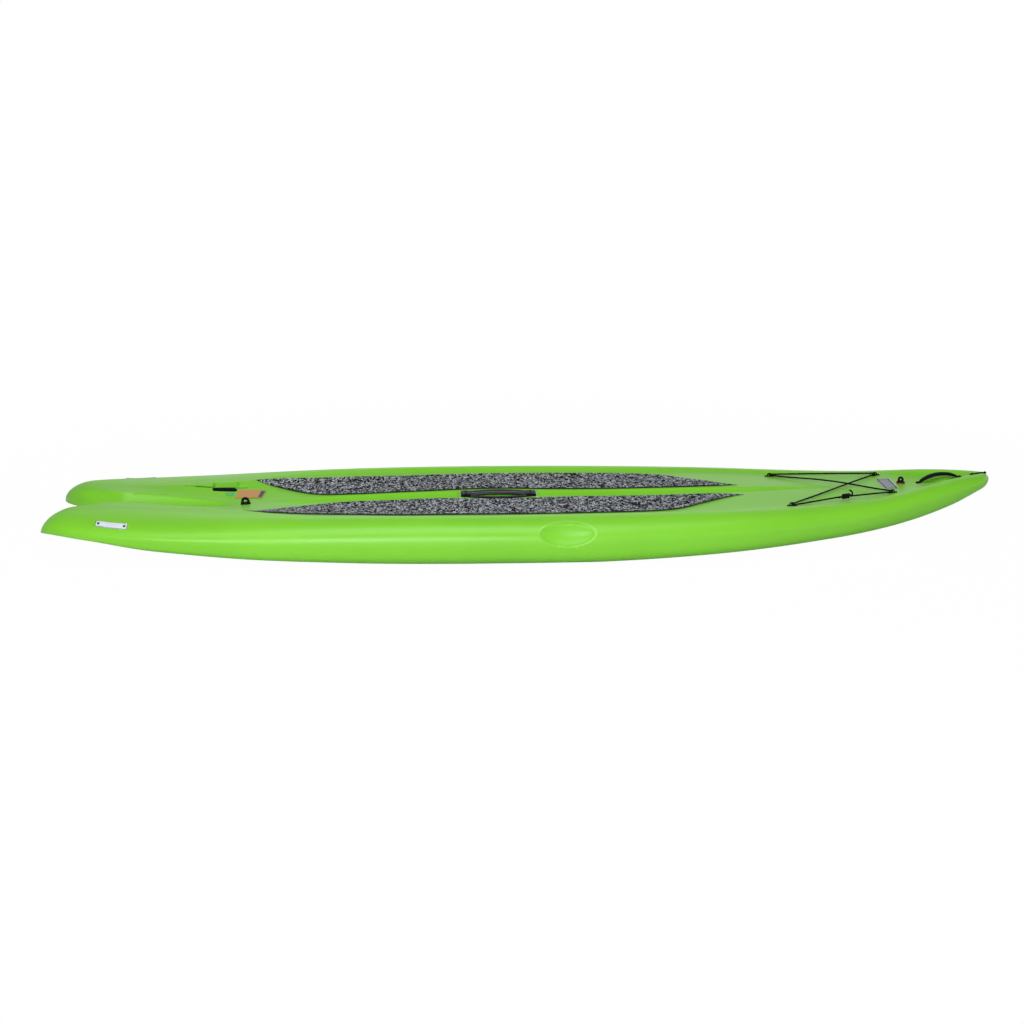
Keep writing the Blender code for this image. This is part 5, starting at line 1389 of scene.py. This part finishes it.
def add_screws(name, place, spots, top, scale=1.0):
    mesh = bpy.data.meshes.get("screw_shape_mesh")
    if mesh is None:
        mesh = screw_mesh()
        mesh.name = "screw_shape_mesh"
    for i, (x, y) in enumerate(spots):
        made = bpy.data.objects.new(f"pan_screw_{name}_{i + 1}", mesh.copy())
        bpy.context.scene.collection.objects.link(made)
        made.data.transform(Matrix.Scale(scale, 4))
        turn = Matrix.Rotation(0.7 * i + 0.3 * len(name), 4, "Z")
        made.data.transform(place @ shift(x, y, top + GAP) @ turn)
        dress(made, [f"{name}_screw_{i + 1}"], "blackened_steel")


# Bow handle

class PADDLEBOARD_OT_bow_handle(bpy.types.Operator):
    """Adds the arched bow handle"""
    bl_idname = "paddle_board.bow_handle"
    bl_label = "Bow Handle"

    def execute(self, context):
        place, half = bow_handle_frame()
        root = half - BOW_FOOT_LENGTH
        foot = GAP + BOW_FOOT_THICKNESS
        crest = BOW_HANDLE_RISE
        under = crest - BOW_HANDLE_THICKNESS
        count = 96
        spots, sections = [], []
        for i in range(count + 1):
            x = half * (2 * i / count - 1)
            out = abs(x)
            if out < root:
                t = out / root
                rise = math.cos(t * math.pi / 2) ** 0.8
                low = GAP + (under - GAP) * rise
                high = foot + (crest - foot) * math.cos(out / (root + 0.002) * math.pi / 2) ** 0.58
            else:
                low, high = GAP, foot + 0.0008 * smooth((half - out) / 0.006)
            end = max(half - out, 0.0)
            width = BOW_HANDLE_WIDTH * (0.42 + 0.58 * round_end(end + 0.0006, 0.009))
            width *= 1 - 0.16 * smooth((out / half - 0.45) / 0.3)
            spots.append((x, 0, (low + high) / 2))
            sections.append((width, high - low))

        def strap_section(i):
            return upright_section(spots, i, oval(*sections[i], 32, 3.2))

        strap = swept("bow_strap", spots, strap_section, place=place, angle=45)
        dress(strap, ["bow_handle"], "black_nylon")
        ends = [(end * (half - BOW_FOOT_LENGTH / 2 + 0.001), 0) for end in (-1, 1)]
        add_screws("bow_handle", place, ends, foot)
        return {"FINISHED"}


def upright_section(spots, i, ring):
    """Keeps a section's height measured upright where its line slopes."""
    before, after = Vector(spots[max(i - 1, 0)]), Vector(spots[min(i + 1, len(spots) - 1)])
    run = after - before
    level = abs(run.x) / max(run.length, 1e-9)
    return [(a, b * level) for a, b in ring]


# Eyes

def eye_outline(length, width):
    """A base plate with well rounded corners."""
    return rounded(rectangle(length, width), width * 0.46, 8)


def arch_line(span, height, foot, steps=20):
    rise = height - span
    line = [(-span, 0, foot), (-span, 0, (foot + rise) / 2)]
    line += [(-x, 0, rise + z) for x, z in arc((0, 0), span, 0, 180, steps)]
    return line + [(span, 0, (foot + rise) / 2), (span, 0, foot)]


def add_eye(name, place, size, wire, span, height):
    """A pad eye: a base with a rounded brow and a staple whose feet flare into it."""
    length, width, base = size
    made = stack(name, eye_outline(length, width), edge_levels(GAP, GAP + base, 0.0003, 0.0011), place)
    line = arch_line(span, height - wire, base / 2)

    def staple_section(i):
        end = min(i, len(line) - 1 - i)
        swell = 1.25 if end == 0 else 1.12 if end == 1 else 1.0
        return oval(2 * wire * swell, 2 * wire * swell, 20)

    staple = swept("staple", line, staple_section, up=Vector((0, 1, 0)), place=place)
    combined(made, [staple], angle=38)
    stands_for = name.replace("pad_eye", "cord_eye").replace("leash_ring", "leash_eye")
    dress(made, [stands_for], "black_moulding")
    return made


class PADDLEBOARD_OT_eyes(bpy.types.Operator):
    """Adds the four pad eyes, the leash eye and their screws"""
    bl_idname = "paddle_board.eyes"
    bl_label = "Eyes"

    def execute(self, context):
        ends = [(-EYE_SCREW_X, 0), (EYE_SCREW_X, 0)]
        small = EYE_SCREW_HEAD / SCREW_HEAD_RADIUS
        plate = (EYE_LENGTH, EYE_WIDTH, EYE_BASE)
        for s, y, where in EYE_ROWS:
            for side, hand in ((1, "port"), (-1, "starboard")):
                place = deck_place(station(s), side * y, SEAT_DEPTH)
                add_eye(f"pad_eye_{where}_{hand}", place, plate, EYE_WIRE, EYE_SPAN, EYE_HEIGHT)
                add_screws(f"cord_eye_{where}_{hand}", place, ends, GAP + EYE_BASE, small)
        place = deck_place(station(LEASH_STATION), 0, SEAT_DEPTH)
        add_eye("leash_ring", place, (LEASH_LENGTH, LEASH_WIDTH, LEASH_BASE), LEASH_WIRE, LEASH_RADIUS,
                LEASH_HEIGHT)
        add_screws("leash_eye", place, [(0, -LEASH_SCREW_Y), (0, LEASH_SCREW_Y)], GAP + LEASH_BASE)
        return {"FINISHED"}


class PADDLEBOARD_OT_nose_strap(bpy.types.Operator):
    """Adds the strap on the nose, with the eye at its fore end"""
    bl_idname = "paddle_board.nose_strap"
    bl_label = "Nose Strap"

    def execute(self, context):
        fore = HALF_LENGTH - NOSE_EYE_IN
        aft = fore - NOSE_EYE_LENGTH
        count = 30
        spots = []
        widths = []
        for i in range(count + 1):
            x = aft + NOSE_EYE_LENGTH * i / count
            z = max(deck_z(x, 0), deck_z(x, NOSE_EYE_WIDTH / 2)) + GAP + 0.0002
            spots.append((x, 0, z + NOSE_EYE_STRAP / 2))
            widths.append(NOSE_EYE_WIDTH * (0.3 + 0.7 * round_end((x - aft) + 0.0006, 0.006)))
        strap = swept("nose_band", spots, lambda i: oval(widths[i], NOSE_EYE_STRAP, 28, 3.5), angle=45)
        ring_x = fore - 0.001
        centre = Vector((ring_x, 0, deck_z(ring_x, 0) + NOSE_EYE_RING + 0.0008))
        middle = (NOSE_EYE_RING + NOSE_EYE_HOLE) / 2
        thick = NOSE_EYE_RING - NOSE_EYE_HOLE
        line = [centre + Vector((x, 0, z)) for x, z in arc((0, 0), middle, 0, 360, 32)[:-1]]
        lug = swept("nose_lug", line, lambda i: oval(thick, NOSE_EYE_WIDTH, 24, 3.0), up=Vector((0, 1, 0)),
                    joined=True)
        combined(strap, [lug], angle=40)
        dress(strap, ["nose_eye"], "black_nylon")
        place = deck_place(aft + 0.008, 0, -GAP)
        add_screws("nose_eye", place, [(0, 0)], NOSE_EYE_STRAP + GAP)
        return {"FINISHED"}


# Vent plug

class PADDLEBOARD_OT_vent(bpy.types.Operator):
    """Adds the vent plug and its seal"""
    bl_idname = "paddle_board.vent"
    bl_label = "Vent Plug"

    def execute(self, context):
        place = deck_place(station(VENT_STATION), 0, SEAT_DEPTH, upright=True)
        ring_z = GAP + VENT_RING_SECTION
        turns = [math.tau * i / 48 for i in range(48)]
        line = [(VENT_RING_RADIUS * math.cos(a), VENT_RING_RADIUS * math.sin(a), ring_z) for a in turns]
        section = oval(2 * VENT_RING_SECTION, 2 * VENT_RING_SECTION, 16, 2.6)
        seal = swept("vent_gasket", line, lambda i: section, place=place, joined=True, angle=50)
        dress(seal, ["vent_oring"], "rubber_seal", "vent_seal")

        head_z = ring_z + VENT_RING_SECTION + GAP
        top = head_z + VENT_HEAD_THICKNESS
        radius = VENT_HEAD_RADIUS
        profile = [
            (0.0001, top), (radius * 0.55, top), (radius - 0.003, top - 0.0004),
            (radius - 0.0012, top - 0.0012), (radius, top - 0.0024), (radius, head_z + 0.0004),
            (radius - 0.0004, head_z), (VENT_SHANK_RADIUS, head_z)]
        z = head_z
        while z > 0.001 - VENT_SHANK_LENGTH:
            profile += [(VENT_SHANK_RADIUS, z - 0.0004), (VENT_SHANK_RADIUS - 0.0007, z - 0.001),
                        (VENT_SHANK_RADIUS - 0.0007, z - 0.0013), (VENT_SHANK_RADIUS, z - 0.0019)]
            z -= 0.002
        profile += [(0.0001, z - 0.0004)]
        plug = turned("vent_cap", profile, place, 48)
        half = VENT_TAB_LENGTH / 2
        low = top - 0.002
        straight = VENT_TAB_HEIGHT - half
        outline = [(-half, low), (half, low)] + arc((0, low + straight), half, 0, 180, 24)
        thick = VENT_TAB_THICKNESS / 2
        levels = [(-0.0012, -thick), (-0.0004, -thick + 0.0004), (0, -thick + 0.0012), (0, thick - 0.0012),
                  (-0.0004, thick - 0.0004), (-0.0012, thick)]
        tab = stack("vent_tab", outline, levels, place @ ABOUT_X)
        hole = oval(2 * VENT_TAB_HOLE, 2 * VENT_TAB_HOLE, 24)
        levels = [(0.0009, -0.004), (0.0009, -thick), (0, -thick + 0.0009), (0, thick - 0.0009),
                  (0.0009, thick), (0.0009, 0.004)]
        eye = stack("vent_hole", moved(hole, 0, low + straight), levels, place @ ABOUT_X)
        combined(tab, [eye], "DIFFERENCE")
        combined(plug, [tab], angle=38)
        dress(plug, ["vent_plug"], "black_moulding", "vent")
        return {"FINISHED"}


# Fins

def fin_outline():
    """A folded fin from the side, about its pivot: a round-nosed lever on top of a swept blade."""
    top = LEVER_TOP
    aft = LEVER_AFT
    corners = [
        (-aft, top), (-aft - 0.008, top + 0.0025), (-aft - 0.040, top + 0.0055),
        (-aft - 0.056, top + 0.0072), (-aft - 0.063, top + 0.0045), (-aft - 0.061, top - 0.008),
        (-aft - 0.048, -0.006), (-aft - 0.026, -0.025), (-aft, -0.037), (-0.036, -0.040),
        (-0.013, -0.032), (0.002, -0.018), (0.008, -0.004)]
    nose = arc((LEVER_FORE - LEVER_NOSE, top - LEVER_NOSE), LEVER_NOSE, -10, 90, 8)
    return nose + rounded(corners, 0.010, 5)[6:-6] + [corners[-1]]


class PADDLEBOARD_OT_fins(bpy.types.Operator):
    """Adds the two folding fins and their pins"""
    bl_idname = "paddle_board.fins"
    bl_label = "Fins"

    def execute(self, context):
        nose = (LEVER_FORE - LEVER_NOSE, LEVER_TOP - LEVER_NOSE)
        for side, hand in ((1, "port"), (-1, "starboard")):
            pivot = Matrix.Translation(fin_pivot(side)) @ ABOUT_X
            thin = FIN_THICKNESS / 2
            levels = [(-0.005, -thin), (-0.0028, -thin + 0.0006), (-0.001, -thin + 0.0019),
                      (0, -thin + 0.0038), (0, thin - 0.0038), (-0.001, thin - 0.0019),
                      (-0.0028, thin - 0.0006), (-0.005, thin)]
            blade = stack(f"fin_blade_{hand}", fin_outline(), levels, pivot)
            lever_line = arc(nose, LEVER_NOSE + 0.0005, -90, 90, 14)
            lever_line += [(-LEVER_AFT, LEVER_TOP + 0.0005), (-LEVER_AFT, nose[1] - LEVER_NOSE - 0.0005)]
            thick = LEVER_THICKNESS / 2
            levels = [(-0.002, -thick), (-0.0006, -thick + 0.0006), (0, -thick + 0.002), (0, thick - 0.002),
                      (-0.0006, thick - 0.0006), (-0.002, thick)]
            lever = stack("fin_lever", lever_line, levels, pivot)
            hub_half = thick + 0.0005
            levels = [(-0.0006, -hub_half), (0, -hub_half + 0.0006), (0, hub_half - 0.0006),
                      (-0.0006, hub_half)]
            hub = stack("fin_hub", oval(2 * HUB_RADIUS, 2 * HUB_RADIUS, 40), levels, pivot)
            combined(blade, [lever])
            combined(blade, [hub])
            bore = oval(2 * PIN_RADIUS + 0.0006, 2 * PIN_RADIUS + 0.0006, 32)
            combined(blade, [stack("fin_bore", bore, [(0, -0.02), (0, 0.02)], pivot)], "DIFFERENCE", 38)
            dress(blade, [f"fin_{hand}"], "black_moulding", f"{hand}_fin")
            length = WELL_WIDTH + 2 * PIN_BITE
            pin = stack(f"fin_axle_{hand}", oval(2 * PIN_RADIUS, 2 * PIN_RADIUS, 32),
                        edge_levels(-length / 2, length / 2, 0.0005, 0.0005, 2), pivot)
            dress(pin, [f"fin_pin_{hand}"], "stainless")
        return {"FINISHED"}


# Deck cord

def cord_eyes():
    """Where the four eyes stand on the deck."""
    spots = []
    for s, y, _ in EYE_ROWS:
        for side in (1, -1):
            x = station(s)
            spots.append(Vector((x, side * y, deck_z(x, y) - SEAT_DEPTH)))
    return spots


def cord_turn(eye, way, first, steps=6):
    """A half turn through an eye. Way is +1 when both legs run forward, -1 when they run aft.

    First is the side, in Y, where the cord comes in.
    """
    points = []
    for i in range(steps + 1):
        a = math.pi * i / steps
        back = way * CORD_TURN * 0.55 * (1 - math.sin(a))
        points.append(eye + Vector((back, first * CORD_TURN * math.cos(a), CORD_LIFT)))
    return points


def cord_line():
    """The deck cord, from its free end through the knot, round the four eyes and back to the knot."""
    rear_port, rear_star, front_port, front_star = cord_eyes()
    turns = [
        cord_turn(rear_star, 1, -1), cord_turn(front_port, -1, -1), cord_turn(rear_port, 1, 1),
        cord_turn(front_star, -1, 1)]
    leg = turns[3][-1] - turns[0][0]
    along = leg.normalized()
    aside = Vector((0, 0, 1)).cross(along).normalized()
    up = along.cross(aside)
    knot = turns[0][0] + leg * KNOT_SHARE + up * KNOT_LIFT
    length = KNOT_TURNS * KNOT_PITCH
    radius = 2 * CORD_RADIUS + CORD_CLEARANCE
    start = knot - along * length / 2
    end = knot + along * length / 2

    def near_knot(base, *moves):
        return [base + along * a + aside * b + up * c for a, b, c in moves]

    line = near_knot(end, (0.001, 0.004, 0.0165), (0.005, 0.003, 0.0145), (0.008, 0.001, 0.011),
                     (0.0092, 0, 0.0065), (0.0078, 0, 0.0025), (0.004, 0, 0))
    line += [knot] + near_knot(start, (-0.006, 0, 0))
    line += turns[0]
    line += turns[1]
    line += turns[2]
    for i in range(1, 8):
        over = 2.7 * CORD_RADIUS * math.sin(math.pi * i / 8) ** 2
        line.append(turns[2][-1].lerp(turns[3][0], i / 8) + Vector((0, 0, over)))
    line += turns[3]
    line += near_knot(end, (0.018, -radius - 0.001, 0), (0.006, -radius, 0))
    count = KNOT_TURNS * 10
    for i in range(count + 1):
        a = math.tau * (KNOT_TURNS * i / count - 0.25)
        spot = end - along * (length * i / count)
        line.append(spot + up * (radius * math.cos(a)) + aside * (radius * math.sin(a)))
    line += near_knot(start, (-0.005, -radius - 0.0008, 0.0015), (-0.012, -radius - 0.004, 0.001),
                      (-0.019, -radius - 0.009, 0.002))
    return line


def smoothed(points, parts=4):
    """More points along a line, on a curve through its own that doesn't swing out where they are uneven."""
    line = []
    for i in range(len(points) - 1):
        b, c = points[i], points[i + 1]
        a = points[i - 1] if i else 2 * b - c
        d = points[i + 2] if i + 2 < len(points) else 2 * c - b
        before, here, after = (math.sqrt((q - p).length) for p, q in ((a, b), (b, c), (c, d)))
        out = ((b - a) / before - (c - a) / (before + here) + (c - b) / here) * here
        into = ((c - b) / here - (d - b) / (here + after) + (d - c) / after) * here
        for j in range(parts):
            t = j / parts
            line.append(b * (2 * t ** 3 - 3 * t ** 2 + 1) + out * (t ** 3 - 2 * t ** 2 + t)
                        + c * (3 * t ** 2 - 2 * t ** 3) + into * (t ** 3 - t ** 2))
    return line + [points[-1]]


class PADDLEBOARD_OT_cord(bpy.types.Operator):
    """Adds the crossed deck cord with its knot"""
    bl_idname = "paddle_board.cord"
    bl_label = "Deck Cord"

    def execute(self, context):
        line = smoothed(cord_line(), 3)
        curve = bpy.data.curves.new("deck_cord", "CURVE")
        curve.dimensions = "3D"
        curve.bevel_depth = CORD_RADIUS
        curve.bevel_resolution = 5
        curve.use_fill_caps = True
        spline = curve.splines.new("POLY")
        spline.points.add(len(line) - 1)
        for point, spot in zip(spline.points, line):
            point.co = (*spot, 1)
        spline.use_smooth = True
        made = bpy.data.objects.new("deck_cord", curve)
        bpy.context.scene.collection.objects.link(made)
        dress(made, ["bungee_cord"], "cord_sheath")
        return {"FINISHED"}


# Plates and the tag

def laid_plate(name, length, half_width_at, place_at, thickness, steps=(40, 16), edge=0.0004):
    """A thin plate wrapped on the deck. place_at(u, v, h) gives the point at its own u, v and height."""
    rows = []
    count_u, count_v = steps
    for i in range(count_u + 1):
        u = -length / 2 * math.cos(math.pi * i / count_u)
        half = half_width_at(u)
        rows.append([(u, half * math.sin(math.pi / 2 * (2 * j / count_v - 1))) for j in range(count_v + 1)])
    points = []
    for h in (0.0, thickness):
        for row in rows:
            for u, v in row:
                points.append((u, v, h))
    wide = count_v + 1
    under = len(points) // 2
    faces = []
    for i in range(count_u):
        for j in range(count_v):
            a = i * wide + j
            faces.append((a, a + 1, a + wide + 1, a + wide))
            faces.append((under + a, under + a + wide, under + a + wide + 1, under + a + 1))
    rim = list(range(wide)) + [i * wide + count_v for i in range(1, count_u + 1)]
    rim += [count_u * wide + j for j in range(count_v - 1, -1, -1)]
    rim += [i * wide for i in range(count_u - 1, 0, -1)]
    for a, b in zip(rim, rim[1:] + rim[:1]):
        faces.append((a, under + a, under + b, b))
    placed_points = [place_at(*p) for p in points]
    made = body(name, placed_points, faces, 40)
    bevel = made.modifiers.new("edge", "BEVEL")
    bevel.width = edge
    bevel.segments = 2
    bevel.limit_method = "ANGLE"
    bevel.angle_limit = math.radians(60)
    settle(made, 40)
    return made


def rounded_half_width(length, width, corner):
    """Half the width of a rectangle with rounded corners, at a distance from its middle."""
    def half(u):
        into = corner - (length / 2 - abs(u))
        if into <= 0:
            return width / 2
        bulge = math.sqrt(max(corner ** 2 - into ** 2, 0))
        return width / 2 - corner + max(bulge, 0.00005)
    return half


def paint_band(made, finish, test, up=Vector((0, 0, 1))):
    """Gives a second material to the flat faces of a plate whose middle passes a test."""
    made.data.materials.append(bpy.data.materials[finish])
    slot = len(made.data.materials) - 1
    for face in made.data.polygons:
        if face.normal.dot(up) > 0.6 and test(face.center):
            face.material_index = slot


def badge_y(x):
    """Distance of a badge plate's middle line from the board's, which widens forward."""
    return BADGE_Y_SHARE * half_beam(x) + BADGE_SLOPE * (x - station(BADGE_STATION))


class PADDLEBOARD_OT_badges(bpy.types.Operator):
    """Adds the bare badge plates and their rivets"""
    bl_idname = "paddle_board.badges"
    bl_label = "Badge Plates"

    def execute(self, context):
        x = station(BADGE_STATION)
        for side, hand in ((1, "port"), (-1, "starboard")):
            normal = side_normal(x, badge_y(x), side)

            def on_tail(u, v, h):
                px = x + u
                y = badge_y(px) + v
                return Vector((px, side * y, deck_z(px, y))) + normal * (PLATE_GAP + h)

            half = rounded_half_width(BADGE_LENGTH, BADGE_WIDTH, 0.004)
            plate = laid_plate(f"badge_{hand}", BADGE_LENGTH, half, on_tail, BADGE_THICKNESS, (60, 26))
            dress(plate, [f"badge_plate_{hand}"], "badge_face")

            def in_border(spot):
                u = spot.x - x
                y = abs(spot.y - normal.y * PLATE_GAP)
                v = y - badge_y(spot.x)
                along = abs(abs(u) - BADGE_LENGTH / 2 + RIVET_INSET)
                if along < BADGE_MARK_LENGTH / 2 and abs(v) < BADGE_MARK_HEIGHT / 2:
                    return True
                return abs(v) > half(u) - BADGE_BORDER or abs(u) > BADGE_LENGTH / 2 - BADGE_BORDER

            paint_band(plate, "badge_border", in_border, normal)
            for end in (-1, 1):
                rivet_x = x + end * (BADGE_LENGTH / 2 - RIVET_INSET)
                y = badge_y(rivet_x)
                up = side_normal(rivet_x, y, side)
                turn = up.to_track_quat("Z", "Y").to_matrix().to_4x4()
                place = Matrix.Translation((rivet_x, side * y, deck_z(rivet_x, y))) @ turn
                top = PLATE_GAP + BADGE_THICKNESS + 2 * GAP
                profile = [(0.0001, top + 0.0011)]
                turns = (0.4, 0.8, 1.15, 1.4)
                profile += [(RIVET_HEAD * math.sin(a), top + 0.0011 * math.cos(a)) for a in turns]
                profile += [(RIVET_HEAD, top), (RIVET_RADIUS, top), (RIVET_RADIUS, 0.0004 - RIVET_DEPTH),
                            (0.0001, -RIVET_DEPTH)]
                rivet = turned(f"rivet_{hand}_{(end + 3) // 2}", profile, place, 24)
                dress(rivet, [f"badge_rivet_{hand}_{(end + 3) // 2}"], "blackened_steel")
        return {"FINISHED"}


class PADDLEBOARD_OT_bow_plate(bpy.types.Operator):
    """Adds the bare grey plate across the bow deck"""
    bl_idname = "paddle_board.bow_plate"
    bl_label = "Bow Plate"

    def execute(self, context):
        x = station(BOW_PLATE_STATION)
        half = rounded_half_width(BOW_PLATE_WIDTH, BOW_PLATE_LENGTH, 0.010)

        def on_bow(u, v, h):
            px, y = x + v, u
            return Vector((px, y, deck_z(px, y) + PLATE_GAP + h))

        plate = laid_plate("deck_plate", BOW_PLATE_WIDTH, half, on_bow, BOW_PLATE_THICKNESS, (90, 30), 0.0003)
        dress(plate, ["bow_plate"], "plate_face")

        def inside(spot, margin):
            u, v = spot.y, spot.x - x
            return abs(u) < BOW_PLATE_WIDTH / 2 - margin and abs(v) < half(u) - margin

        paint_band(plate, "plate_band", lambda spot: not inside(spot, 0.0026))
        paint_band(plate, "plate_border", lambda spot: inside(spot, 0.0026) and not inside(spot, 0.0082))
        return {"FINISHED"}


class PADDLEBOARD_OT_tag(bpy.types.Operator):
    """Adds the card tag with its tie"""
    bl_idname = "paddle_board.tag"
    bl_label = "Card Tag"

    def execute(self, context):
        x = station(TAG_STATION)

        def on_stern(u, v, h):
            px = x + u * math.cos(TAG_TURN) - v * math.sin(TAG_TURN)
            py = TAG_Y + u * math.sin(TAG_TURN) + v * math.cos(TAG_TURN)
            return Vector((px, py, deck_z(px, py) + TAG_GAP + h))

        half = rounded_half_width(TAG_LENGTH, TAG_WIDTH, 0.003)
        tag = laid_plate("kraft_tag", TAG_LENGTH, half, on_stern, TAG_THICKNESS, (44, 36), 0.0002)
        dress(tag, ["hang_tag"], "kraft_card")

        def strip(spot):
            px, py = spot.x - x, spot.y - TAG_Y
            u = px * math.cos(TAG_TURN) + py * math.sin(TAG_TURN)
            v = py * math.cos(TAG_TURN) - px * math.sin(TAG_TURN)
            return TAG_LENGTH / 2 - 0.0145 < u < TAG_LENGTH / 2 - 0.003 and abs(v) < TAG_WIDTH / 2 - 0.005

        paint_band(tag, "tag_strip", strip)
        middle = (x - TAG_LENGTH / 2 - TIE_AWAY, TAG_Y + 0.006)
        line = []
        count = 90
        for i in range(count + 1):
            a = math.tau * 12 / 14 * i / count + 0.5
            px = middle[0] + TIE_LENGTH / 2 * math.cos(a)
            py = middle[1] + TIE_WIDTH / 2 * math.sin(a)
            line.append(Vector((px, py, deck_z(px, py) + 0.0024)))
        tie = swept("card_tie", line, lambda i: oval(2 * TIE_RADIUS, 2 * TIE_RADIUS, 10))
        dress(tie, ["tag_tie"], "teal_tie")
        return {"FINISHED"}


# Stage

class PADDLEBOARD_OT_stage(bpy.types.Operator):
    """Adds the pale floor, the soft lights and the camera"""
    bl_idname = "paddle_board.stage"
    bl_label = "Stage"

    def execute(self, context):
        scene = context.scene
        mesh = bpy.data.meshes.new("studio_floor")
        shape = bmesh.new()
        bmesh.ops.create_grid(shape, x_segments=1, y_segments=1, size=60)
        shape.to_mesh(mesh)
        shape.free()
        floor = bpy.data.objects.new("studio_floor", mesh)
        floor.location.z = CAD_BOX[0].z - 0.0005
        scene.collection.objects.link(floor)
        pale = bpy.data.materials.new("pale_floor")
        pale.use_nodes = True
        tree = pale.node_tree
        shader = tree.nodes["Principled BSDF"]
        shader.inputs["Base Color"].default_value = (0.8, 0.8, 0.8, 1)
        shader.inputs["Roughness"].default_value = 0.9
        glow = node(tree, "ShaderNodeEmission", {"Color": (1, 1, 1, 1), "Strength": 1.0})
        rays = node(tree, "ShaderNodeLightPath").outputs
        where = object_space(tree)
        far = node(tree, "ShaderNodeVectorMath", {0: where}, operation="LENGTH").outputs["Value"]
        plain = maths(tree, "MULTIPLY", rays["Is Camera Ray"], between(tree, far, 1.2, 4.0, 0.985, 1.0))
        mirrored = maths(tree, "MULTIPLY", rays["Is Glossy Ray"], between(tree, far, 1.0, 7.0))
        seen = maths(tree, "MAXIMUM", plain, mirrored)
        mixed = node(tree, "ShaderNodeMixShader", {0: seen, 1: shader.outputs[0], 2: glow.outputs[0]})
        tree.links.new(mixed.outputs[0], tree.nodes["Material Output"].inputs["Surface"])
        mesh.materials.append(pale)

        world = bpy.data.worlds.new("white_studio")
        world.use_nodes = True
        tree = world.node_tree
        way = node(tree, "ShaderNodeTexCoord").outputs["Generated"]
        parts = node(tree, "ShaderNodeSeparateXYZ", {"Vector": way}).outputs
        walls = between(tree, parts["Z"], 0.28, 0.55, 1.0, 0.08)
        walls = maths(tree, "MULTIPLY", walls, between(tree, parts["X"], -0.17, -0.10, 0.4, 1.0))
        seen = node(tree, "ShaderNodeLightPath").outputs["Is Camera Ray"]
        tree.links.new(maths(tree, "MAXIMUM", walls, seen), tree.nodes["Background"].inputs["Color"])
        scene.world = world

        for name, at, aim, size, power in (
                ("front_softbox", (-1.3, -4.5, 3.1), (-0.5, 0, 0.05), (3.0, 1.4), 158.0),
                ("low_strip", (-0.6, -6.0, 0.4), (-0.3, 0, 0.1), (3.0, 0.5), 12.0),
                ("ceiling_panel", (-0.4, -0.6, 4.5), (-0.3, 0, 0.1), (3.6, 2.5), 96.0)):
            lamp = bpy.data.lights.new(name, "AREA")
            lamp.shape = "RECTANGLE"
            lamp.size, lamp.size_y = size
            lamp.energy = power
            light = bpy.data.objects.new(name, lamp)
            light.location = at
            light.rotation_euler = (Vector(aim) - Vector(at)).to_track_quat("-Z", "Y").to_euler()
            scene.collection.objects.link(light)

        lens = bpy.data.cameras.new("front_camera")
        lens.lens = 72.42
        lens.sensor_width = 36
        lens.clip_end = 200
        camera = bpy.data.objects.new("front_camera", lens)
        camera.location = (-0.3008, -6.3490, 1.5621)
        camera.rotation_euler = (math.radians(76.83), 0, math.radians(-2.355))
        scene.collection.objects.link(camera)
        scene.camera = camera
        scene.view_settings.view_transform = "Standard"
        return {"FINISHED"}


PIECES = (
    PADDLEBOARD_OT_hull, PADDLEBOARD_OT_pads, PADDLEBOARD_OT_centre_handle, PADDLEBOARD_OT_bow_handle,
    PADDLEBOARD_OT_cord, PADDLEBOARD_OT_eyes, PADDLEBOARD_OT_nose_strap, PADDLEBOARD_OT_vent,
    PADDLEBOARD_OT_fins, PADDLEBOARD_OT_badges, PADDLEBOARD_OT_bow_plate, PADDLEBOARD_OT_tag)


class PADDLEBOARD_PT_panel(bpy.types.Panel):
    """Lists the board's pieces, sizes and colours"""
    bl_idname = "PADDLEBOARD_PT_panel"
    bl_label = "Paddle Board"
    bl_space_type = "VIEW_3D"
    bl_region_type = "UI"
    bl_category = "Paddle Board"

    def draw(self, context):
        for made in (PADDLEBOARD_OT_stage, *PIECES):
            self.layout.operator(made.bl_idname)
        for settings in (sizes(), colours()):
            for key in type(settings).__annotations__:
                self.layout.prop(settings, key)


CLASSES = (PaddleBoardSizes, PaddleBoardColours, PADDLEBOARD_OT_stage, *PIECES, PADDLEBOARD_PT_panel)


def register():
    for one in CLASSES:
        bpy.utils.register_class(one)
    bpy.types.Scene.paddle_board_sizes = PointerProperty(type=PaddleBoardSizes)
    bpy.types.Scene.paddle_board_colours = PointerProperty(type=PaddleBoardColours)


def unregister():
    del bpy.types.Scene.paddle_board_colours
    del bpy.types.Scene.paddle_board_sizes
    for one in reversed(CLASSES):
        bpy.utils.unregister_class(one)


def main():
    register()
    make_materials()
    for made in (PADDLEBOARD_OT_stage, *PIECES):
        family, name = made.bl_idname.split(".")
        getattr(getattr(bpy.ops, family), name)()


if __name__ == "__main__":
    main()
